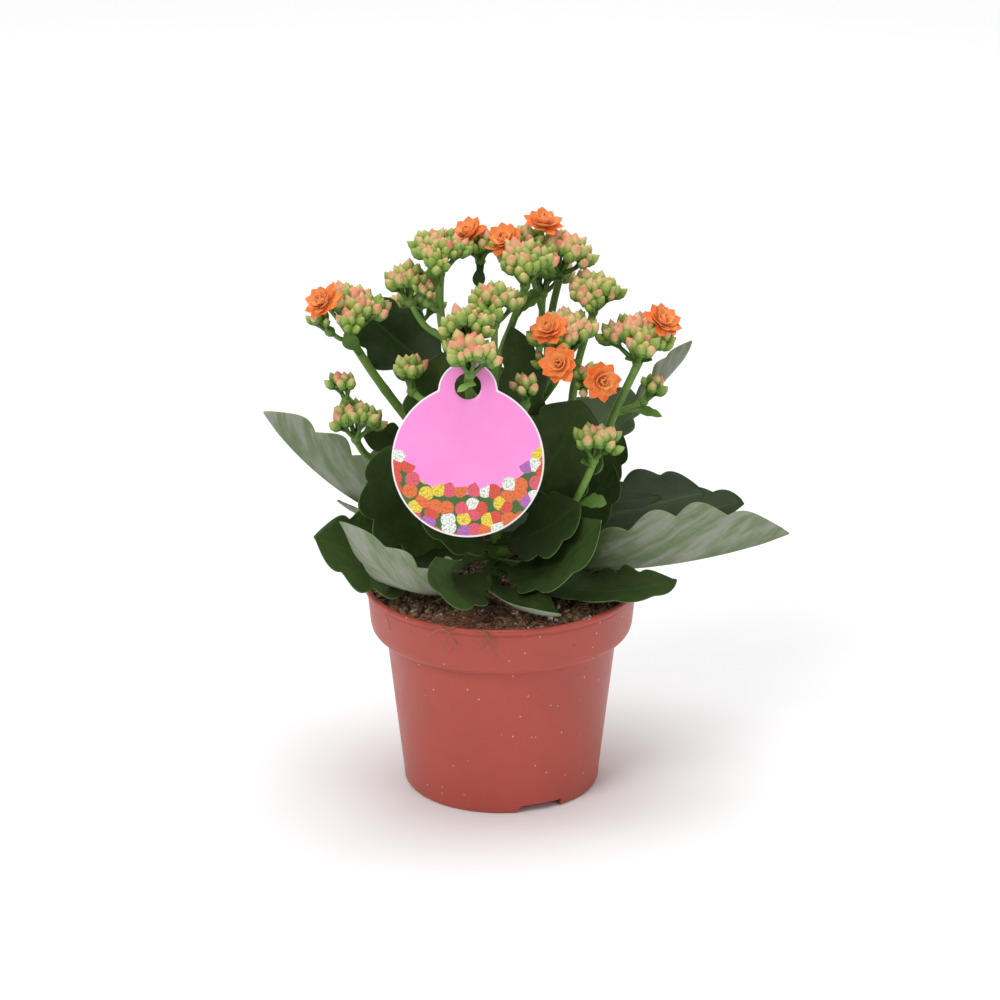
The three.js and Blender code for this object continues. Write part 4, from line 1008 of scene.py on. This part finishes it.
def make_fibres():
    """Thin wood fibres on the surface, and roots that hang over the front of the rim."""
    rng = np.random.default_rng(FIBRES_SEED)
    fibres = Piece("soil_fibres", FIBRES)
    add_threads(fibres, rng, lying_fibres(rng, FIBRES_COUNT), 0.12, 0.34, 1)
    add_threads(fibres, rng, front_roots(rng, ROOTS_COUNT), 0.08, 0.19, 0.7)
    fibres.build("soil")


# ---- tag ----

def make_tag():
    """The tag: rays from the middle of its hole to the union of a disc and a smaller ear, filled
    by rings from the hole to the edge on the front, round the edge and back on the rear. The
    sheet leans back and is bowed a little."""
    a = np.linspace(0, 2 * np.pi, 280, endpoint=False)
    way = vectors(np.cos(a), np.sin(a))

    def ray(centre_rise, radius):
        """Where a ray from the hole's middle leaves a circle."""
        off = np.array([0.0, TAG_HOLE_RISE - centre_rise])
        b = way @ off
        return -b + np.sqrt(b * b - off @ off + radius * radius)

    disc, ear = ray(0.0, TAG_RADIUS), ray(TAG_EAR_RISE, TAG_EAR_RADIUS)
    outer = np.maximum(disc, ear) + 0.35 * np.exp(-((disc - ear) / 0.9)**2)
    inner = np.full(len(a), TAG_HOLE_RADIUS)
    edge = [(TAG_ROUNDING, 1.0), (0.03, 0.75), (0.0, 0.0), (0.03, -0.75), (TAG_ROUNDING, -1.0)]
    fill = np.linspace(0, 1, 26)[1:-1]**0.9

    def between(share):
        """The ring of the face at this share of the way from the hole to the edge."""
        return inner + TAG_ROUNDING + (outer - inner - 2 * TAG_ROUNDING) * share

    rows = ([(inner + inset, level) for inset, level in edge[::-1]]
            + [(between(share), 1.0) for share in fill]
            + [(outer - inset, level) for inset, level in edge]
            + [(between(share), -1.0) for share in fill[::-3]])
    radius = np.stack([r for r, _ in rows])
    half = TAG_THICKNESS / 2
    depth = np.array([level for _, level in rows])[:, None] * half
    x = radius * way[:, 0]
    y = TAG_HOLE_RISE + radius * way[:, 1]
    bow = (-0.9 * (x / TAG_RADIUS)**2
           + 0.5 * np.exp(-((x - 17 - 0.3 * (y - 30)) / 2.2)**2 - ((y - 30) / 14)**2))
    lean = np.array([0.0, math.sin(TAG_LEAN), math.cos(TAG_LEAN)])
    out = np.array([0.0, -math.cos(TAG_LEAN), math.sin(TAG_LEAN)])
    points = (TAG_CENTRE + x[..., None] * np.array([1.0, 0, 0]) + y[..., None] * lean
              + (depth + half + bow)[..., None] * out)
    place = vectors(x / TAG_RADIUS, y / TAG_RADIUS, np.where(depth > 0.5 * half, 1.0, 0.0))
    inward = np.maximum(TAG_RADIUS - np.hypot(x, y), TAG_EAR_RADIUS - np.hypot(x, y - TAG_EAR_RISE))
    faces = (grid_faces(len(rows) + 1, len(a)) % radius.size)[:, ::-1]
    tag = Piece("hang_tag", TAG_PRINT)
    tag.add(points.reshape(-1, 3), faces, place=place.reshape(-1, 3), tone=(inward / 10).ravel())
    tag.build("card", "tag")


# ---- stems ----

def add_stalk(piece, points, radius, tone, rings, sides, swell=0.0):
    """A stalk along a smooth path: its radius eases from 1.08 to 0.9 of the given one, with
    three low swellings where leaves have dropped."""
    t = np.linspace(0, 1, rings)
    knots = np.exp(-((t[:, None] - np.array([0.05, 0.5, 0.98])) / 0.03)**2).sum(1)
    surface = bodies(smooth_path(points, rings)[None], radius * (1.08 - 0.18 * t + swell * knots), sides)
    piece.add(*surface[:2], tone=tone)


def make_main_stem():
    """The trunk and its four branches."""
    stem = Piece("main_stem_green", STEM)
    add_stalk(stem, TRUNK, TRUNK_RADIUS, 0.1, 40, 16, 0.12)
    for path in BRANCHES:
        add_stalk(stem, path, BRANCH_RADIUS, 0.2, 26, 12, 0.12)
    stem.build("stem", "main_stem")


# ---- leaves ----

def leaf_half(half, lobes, u, offset=0.0):
    """Half the width at u: a petiole, then half·sin(pi s^1.3)^0.65 over the blade's share s, with
    rounded scallops |sin(pi lobes s)| cut into the margin."""
    s = np.clip((u - PETIOLE_SHARE) / (1 - PETIOLE_SHARE), 0, 1)
    scallop = 1 + SCALLOP_DEPTH * (np.abs(np.sin(np.pi * lobes * (s + offset * s * (1 - s)))) - 0.7)
    width = half * np.sin(np.pi * s**1.3)**0.65 * scallop
    return np.maximum(np.maximum(PETIOLE_HALF * (1 - s), 0.35), width)


def blade(root, middle, tip, half, face, lobes, fold, seed, rows=72, loop=28,
          thickness=LEAF_THICKNESS, margin=MARGIN_THICKNESS, wave=1.0):
    """A leaf as one closed skin. Along it runs a quadratic curve from root to tip through
    `middle`; across it v = cos b for b round the section, and the two faces stand apart by a
    thickness that eases from the midrib to the margin by sin b. Each half rises from the midrib
    by its width times sin(fold), and the margin ripples."""
    root, middle, tip, face = (np.asarray(p, float) for p in (root, middle, tip, face))
    pull = 2 * middle - 0.5 * root - 0.5 * tip
    u = np.concatenate([np.linspace(0, PETIOLE_SHARE, 8)[:-1], np.linspace(PETIOLE_SHARE, 0.998, rows - 7)])
    w = u[:, None]
    midrib = curve(root, pull, tip, w)
    along = unit(2 * (1 - w) * (pull - root) + 2 * w * (tip - pull))
    up = unit(face - (along @ face)[:, None] * along)
    side = np.cross(along, up)
    b = np.arange(loop) * 2 * np.pi / loop
    v, s = np.cos(b), np.sin(b)
    level = np.sign(s) * np.abs(s)**0.6
    rng = np.random.default_rng(seed)
    left, right = (leaf_half(half, lobes, u, offset)[:, None] for offset in rng.uniform(-0.25, 0.25, 2))
    width = np.where(v > 0, left, right)
    body = thickness - margin
    thick = margin + body * np.exp(-(v / 0.35)**2) + body * 0.4 * (1 - v**2)
    thick = np.where(w < PETIOLE_SHARE * 1.1, thickness * 1.05, thick)
    thick = thick * (0.35 + 0.65 * np.minimum(1, (1.02 - w) * 9))
    hinge = np.sqrt(v**2 + 0.0036) - 0.06
    phase = rng.uniform(0, 6.28, 3)
    ripples = wave * 0.028 * half * v**2 * (np.sin(2 * np.pi * 2.1 * w + phase[0] + 1.4 * v)
                                            + 0.5 * np.sin(2 * np.pi * lobes * w + phase[1] * v))
    ripples = ripples * np.clip((w - PETIOLE_SHARE) * 4, 0, 1)
    rise = hinge * width * math.sin(fold) + ripples + 0.5 * thick * level
    points = (midrib[:, None] + side[:, None] * (v * width * math.cos(fold))[..., None]
              + up[:, None] * rise[..., None])
    run = np.concatenate([[0], np.cumsum(np.linalg.norm(np.diff(midrib, axis=0), axis=1))])
    number = seed % 97
    place = vectors(w, v, np.where(s > 0.05, 1.0, np.where(s < -0.05, -1.0, 0.0)))
    grain = vectors(v * width, run[:, None], float(number))
    points, place, grain = (np.vstack([values.reshape(-1, 3), ends]) for values, ends in (
        (points, [root, tip + along[-1] * 0.2]), (place, [[0, 0, 0], [1, 0, 0]]),
        (grain, [[0, 0, number], [0, run[-1], number]])))
    return points, skin_faces(len(u), loop), place, grain


def make_leaf(name, seed, root, middle, tip, half, face, lobes, tone, fold=LEAF_FOLD):
    """One large leaf as a piece, from inside its stem to its tip."""
    root = (*TRUNK[0][:2], root) if np.isscalar(root) else root
    points, faces, place, grain = blade(root, middle, tip, half, face, lobes, math.radians(fold), seed)
    piece = Piece("leaf_" + name + "_blade", LEAF)
    piece.add(points, faces, 0, place, tone, grain)
    piece.build("leaf", "leaf_" + name)


# ---- sprays ----

BUD_PLACES = np.array([0.26, 0.44, 0.62, 0.80, 0.94])
BUD_PROFILE = np.array([0.82, 0.98, 1.0, 0.80, 0.42])
CALYX_PLACES = np.array([0.0, 0.22, 0.62])
CALYX_PROFILE = np.array([0.42, 0.98, 1.20])
CALYX_TONES = np.concatenate([np.repeat([-0.4, -0.1, 0.45], 8), [-0.4, 0.0]])


def drops(roots, ways, length, radius, places, profile, ends):
    """Bodies of eight sides that stand on their roots: rings at these shares of the length, with
    these shares of the radius, and the poles at `ends`."""
    paths = roots[:, None] + ways[:, None] * (places[None, :, None] * length[:, None, None])
    poles = np.stack([roots + ways * (length * end)[:, None] for end in ends], axis=1)
    return bodies(paths, radius[:, None, None] * profile, 8, poles)


def buds(roots, ways, length, radius):
    """Buds as drops of five rings whose radii swell to the lower middle and draw in to a point,
    with four soft corners. `place` is how far along, and the petal folds cos 4a."""
    wave = np.cos(4 * np.arange(8) * np.pi / 4)
    points, faces, body = drops(roots, ways, length, radius, BUD_PLACES,
                                BUD_PROFILE[None, :, None] * (1 + 0.05 * wave), (0.2, 1.08))
    along = np.concatenate([np.repeat(BUD_PLACES, 8), [0.2, 1]])
    fold = np.concatenate([np.tile(wave, 5), [0, 0]])
    return points, faces, np.tile(vectors(along, fold, fold), (len(roots), 1)), body


def calyces(roots, ways, length, radius):
    """The four sepals round each bud's foot as one cup of three rings: every second point of the
    top ring is drawn down by 0.3 of the bud, so that the rim stands in four points."""
    points, faces, body = drops(roots, ways, length, radius, CALYX_PLACES,
                                CALYX_PROFILE[None, :, None], (0.0, 0.40))
    rings = points.reshape(len(roots), 26, 3)
    rings[:, 17:24:2] -= ways[:, None] * (0.30 * length)[:, None, None]
    return points, faces, body


def pedicels(starts, joints, ends, radius):
    """Stalks of buds: each a quadratic curve from its start over its joint to its end, thicker at
    the foot."""
    t = np.linspace(0, 1, 5)
    paths = curve(starts[:, None], joints[:, None], ends[:, None], t[:, None])
    return bodies(paths, radius * (1.35 - 0.4 * t), 6)[:2]


def cap_area(radius, spread):
    """The area of a cap of a sphere, 2 pi r^2 (1 - cos spread)."""
    return 2 * math.pi * radius**2 * (1 - math.cos(math.radians(spread)))


def make_umbel(piece, rng, umbel, size):
    """A head of buds in two orders: arms spread over a cap round the axis, and from the end of
    each arm a fan of buds on short pedicels that stand half upright. Buds whose tips would lie
    outside the head's spread are left out, and the outer ones are smaller and greener."""
    node, axis, reach, spread = umbel[:4]
    node, axis, reach = np.asarray(node, float), unit(axis), reach * 1.06
    bud = min(BUD_LENGTH * size, reach * 0.5)
    wide = spread * 0.88
    arms = max(2, int(round(cap_area(reach, wide) / ARM_AREA)))
    arm_ways = unit(cap_directions(axis, wide, arms) + rng.normal(0, 0.06, (arms, 3)))
    arm_long = (reach - bud * 0.95 - PEDICEL_LENGTH) * rng.uniform(0.92, 1.12, arms)
    hubs = node + arm_ways * arm_long[:, None]
    each = max(3, int(round(cap_area(reach * 0.5, FAN_SPREAD) / (BUD_AREA * size**2))))
    leans = unit(arm_ways * 0.75 + axis * 0.3 + UP * 0.15)
    fans = np.concatenate([cap_directions(lean, FAN_SPREAD, each) for lean in leans])
    fans = unit(fans + rng.normal(0, 0.07, fans.shape))
    owner = np.repeat(np.arange(arms), each)
    roots = hubs[owner] + fans * (PEDICEL_LENGTH * rng.uniform(0.6, 1.4, len(fans)))[:, None]
    ways = unit(fans * 0.72 + UP * 0.30 + rng.normal(0, 0.05, fans.shape))
    lengths = bud * rng.uniform(0.86, 1.12, len(fans))
    off = np.degrees(np.arccos(np.clip(unit(roots + ways * lengths[:, None] - node) @ axis, -1, 1)))
    kept = off < spread + 9
    roots, ways, lengths, owner, slope = (v[kept] for v in (roots, ways, lengths, owner, off / 95))
    lengths = lengths * (1 - 0.22 * slope)
    radii = lengths * rng.uniform(0.245, 0.295, len(roots))
    tones = np.clip(RIPENESS + rng.normal(0, 0.22, len(roots)) - 0.6 * slope, 0, 1)
    points, faces, place, body = buds(roots, ways, lengths, radii)
    piece.add(points, faces, 1, place, tones[body])
    points, faces, body = calyces(roots, ways, lengths, radii)
    piece.add(points, faces, tone=np.tile(CALYX_TONES, len(roots)) + (0.35 * tones)[body])
    start = hubs[owner] - arm_ways[owner] * 1.5
    joints = hubs[owner] * 0.4 + roots * 0.6 + arm_ways[owner] * 0.4
    # A tone of -0.15 makes the pedicels near black green: painted shade inside the head.
    piece.add(*pedicels(start, joints, roots + ways * 0.5, 0.66), tone=-0.15)
    joints = node + arm_ways * 0.5 * arm_long[:, None] - UP * 0.6
    piece.add(*pedicels(np.repeat(node[None], arms, axis=0), joints, hubs, 0.95), tone=0.1)
    knot = (node + np.linspace(-2.4, 2.2, 5)[:, None] * axis)[None]
    piece.add(*bodies(knot, [1.3, 2.1, 2.4, 2.0, 1.2], 10)[:2], tone=0.3)


def small_bract(piece, seed, root, way, length, width, face=(0, -0.5, 1.0), tone=0.15):
    """A small leaf at a node, arched out and a little down at its tip. Long ones are scalloped."""
    root, way, face = np.asarray(root, float), unit(way), unit(face)
    middle = root + way * length * 0.5 + face * length * 0.09
    points, faces, place, grain = blade(root, middle, root + way * length, width * 0.5, face,
                                        3 if length > 13 else 0, math.radians(BRACT_FOLD), seed,
                                        rows=26, loop=14, thickness=1.0, margin=0.5, wave=0.6)
    piece.add(points, faces, 0, place, tone, grain)


def make_spray(name, spray, order):
    """One flower spray as a piece: stalk, twigs, umbels, bracts and the pedicels of its blooms."""
    rng = np.random.default_rng(SPRAY_SEED + order)
    piece = Piece("spray_" + name + "_buds", STEM, BUD)
    add_stalk(piece, spray["path"], spray.get("stalk", STALK_RADIUS), 0.45, 30, 10, 0.10)
    for k, umbel in enumerate(spray["umbels"]):
        if k > 0:
            fork = np.asarray(umbel[4] if len(umbel) > 4 else spray["path"][-1], float)
            bend = fork * 0.5 + np.multiply(umbel[0], 0.5) - UP * TWIG_SAG
            add_stalk(piece, [fork, bend, umbel[0]], TWIG_RADIUS, 0.6, 12, 8)
        make_umbel(piece, rng, umbel, spray.get("buds", 1.0))
    for k, bract in enumerate(spray.get("bracts", [])):
        small_bract(piece, BRACT_SEED + 10 * order + k, *bract)
    node = np.asarray(spray["umbels"][0][0], float)
    for centre, axis in spray.get("blooms", []):
        axis = unit(axis)
        end = centre - axis * 0.4
        add_stalk(piece, [node, (end - axis * 5) * 0.7 + node * 0.3, end], TWIG_RADIUS * 0.9, 0.7, 14, 8)
    piece.build("buds", "spray_" + name)


# ---- blooms ----

# A whorl of petals: how many, how far it is turned in petals, its length in bloom radii, its half
# width, how steep it leaves the middle and how much further it bends up in degrees, its height
# over the centre, and its tone.
WHORLS = [
    (8, 0.0, 1.0, 2.9, 10, 20, 0.8, 1.0),
    (8, 0.5, 0.88, 2.7, 28, 22, 1.4, 0.65),
    (7, 0.2, 0.72, 2.3, 46, 24, 1.9, 0.3),
    (5, 0.6, 0.54, 2.0, 74, 20, 2.2, 0.0),
]


def petals(centre, axis, count, turn, length, width, lift, cup, rng, rows=9, loop=10):
    """A whorl of pointed petals. Each one's half width is width·sin(pi u^1.3)^0.7, drawn to a
    point; it leaves the middle at `lift` degrees and bends up by `cup` degrees on the way, its
    sides are raised by the square of their place across, and its skin closes round the rim."""
    side = unit(np.cross(UP, axis))
    fore = np.cross(axis, side)
    a = 2 * np.pi * (np.arange(count) + turn) / count + rng.normal(0, 0.07, count)
    out = np.cos(a)[:, None] * side + np.sin(a)[:, None] * fore
    across = np.cross(axis, out)
    u = np.linspace(0, 1, rows)
    long = length * rng.uniform(0.90, 1.08, count)
    tilt = np.radians(lift + rng.normal(0, 5, count))[:, None] + np.radians(cup) * u[None]**1.5
    step = np.diff(u, prepend=0)[None] * long[:, None]
    run = np.cumsum(np.cos(tilt) * step, axis=1) + 0.6
    climb = np.cumsum(np.sin(tilt) * step, axis=1)
    b = np.arange(loop) * 2 * np.pi / loop
    v, level = np.cos(b), np.sin(b)
    half = np.maximum(width * np.sin(np.pi * np.clip(u, 0.08, 0.99)**1.3)**0.7, 0.12)[:, None]
    rise = 0.26 * half * v**2 + 0.16 * level
    base = centre + out[:, None] * run[..., None] + axis * climb[..., None]
    normal = unit(axis * np.cos(tilt)[..., None] - out[:, None] * np.sin(tilt)[..., None])
    points = (base[:, :, None] + across[:, None, None] * (half * v)[None, ..., None]
              + normal[:, :, None] * rise[None, ..., None])
    point = base[:, -1] + (out * np.cos(tilt[:, -1:]) + axis * np.sin(tilt[:, -1:])) * 0.35
    ends = np.stack([base[:, 0] - out * 0.2, point], axis=1)
    size = rows * loop
    points = np.concatenate([points.reshape(count, size, 3), ends], axis=1).reshape(-1, 3)
    place = np.concatenate([vectors(u[:, None], v, np.where(level > 0.05, 1.0, -1.0)).reshape(-1, 3),
                            [[0, 0, 0], [1, 0, 0]]])
    return (points, copies(skin_faces(rows, loop, True), count, size + 2),
            np.tile(place, (count, 1)), np.repeat(np.arange(count), size + 2))


def make_bloom(name, centre, axis, seed):
    """A double bloom: a green calyx, four whorls of petals that stand steeper and shorter
    inwards, and a small green-yellow heart."""
    rng = np.random.default_rng(seed)
    axis = unit(axis)
    piece = Piece(name + "_petals", PETAL, HEART, STEM)
    for count, turn, length, width, lift, cup, height, tone in WHORLS:
        points, faces, place, body = petals(centre + axis * height, axis, count, turn,
                                            BLOOM_RADIUS * length, width, lift, cup, rng)
        shade = np.clip(tone + rng.normal(0, 0.12, count), 0, 1)
        piece.add(points, faces, 0, place, shade[body])
    dots = cap_directions(axis, 60, 12)
    paths = centre + axis * 1.6 + dots[:, None] * np.array([0.0, 0.8, 1.4])[None, :, None]
    piece.add(*bodies(paths, [0.5, 0.55, 0.35], 6)[:2], 1)
    cup_path = (centre + np.linspace(-0.6, 2.0, 5)[:, None] * axis)[None]
    piece.add(*bodies(cup_path, [0.9, 1.6, 2.0, 2.2, 1.8], 10)[:2], 2, tone=0.6)
    piece.build("petals", name)


# ---- make everything ----

make_pot()
make_soil()
make_crumbs()
make_fibres()
make_tag()
make_main_stem()
for order, (name, spray) in enumerate(SPRAYS.items()):
    make_spray(name, spray, order)
    for k, (centre, axis) in enumerate(spray.get("blooms", [])):
        make_bloom(f"bloom_{name}_{k + 1}", centre, axis, BLOOM_SEED + 10 * order + k)
for order, (name, leaf) in enumerate(LEAVES.items()):
    make_leaf(name, LEAF_SEED + order, *leaf)


# ---- floor, light and world ----

def make_floor():
    """A wide flat floor just under the pot's foot."""
    x, y = np.meshgrid(np.linspace(-6, 6, 3), np.linspace(-6, 6, 3), indexing="xy")
    mesh = bpy.data.meshes.new("floor")
    mesh.from_pydata(vectors(x, y, -0.0002).reshape(-1, 3).tolist(), [], grid_faces(3, 3, False).tolist())
    mesh.materials.append(FLOOR)
    floor = put_in_scene("floor", mesh)


def soft_light(name, place, aim, size, watts):
    """A square soft light at `place` that looks at `aim`."""
    lamp = put_in_scene(name, bpy.data.lights.new(name, "AREA"))
    lamp.data.shape = "SQUARE"
    lamp.data.size = size
    lamp.data.energy = watts
    x, y, z = np.subtract(place, aim)
    lamp.location = place
    lamp.rotation_euler = (math.atan2(math.hypot(x, y), z), 0, math.atan2(x, -y))


def make_world():
    """White to the camera, and less than half as bright to everything else."""
    world = bpy.data.worlds.new("studio")
    world.use_nodes = True
    sky = Nodes(world.node_tree)
    strength = sky.span(sky.out("ShaderNodeLightPath", "Is Camera Ray"), 0.0, 1.0, 0.40, 1.0)
    light = sky.out("ShaderNodeBackground", Color=(1, 1, 1), Strength=strength)
    sky.add("ShaderNodeOutputWorld", Surface=light)
    bpy.context.scene.world = world
    bpy.context.scene.view_settings.view_transform = "Standard"


make_floor()
for name, light in LIGHTS.items():
    soft_light(name, *light)
make_world()
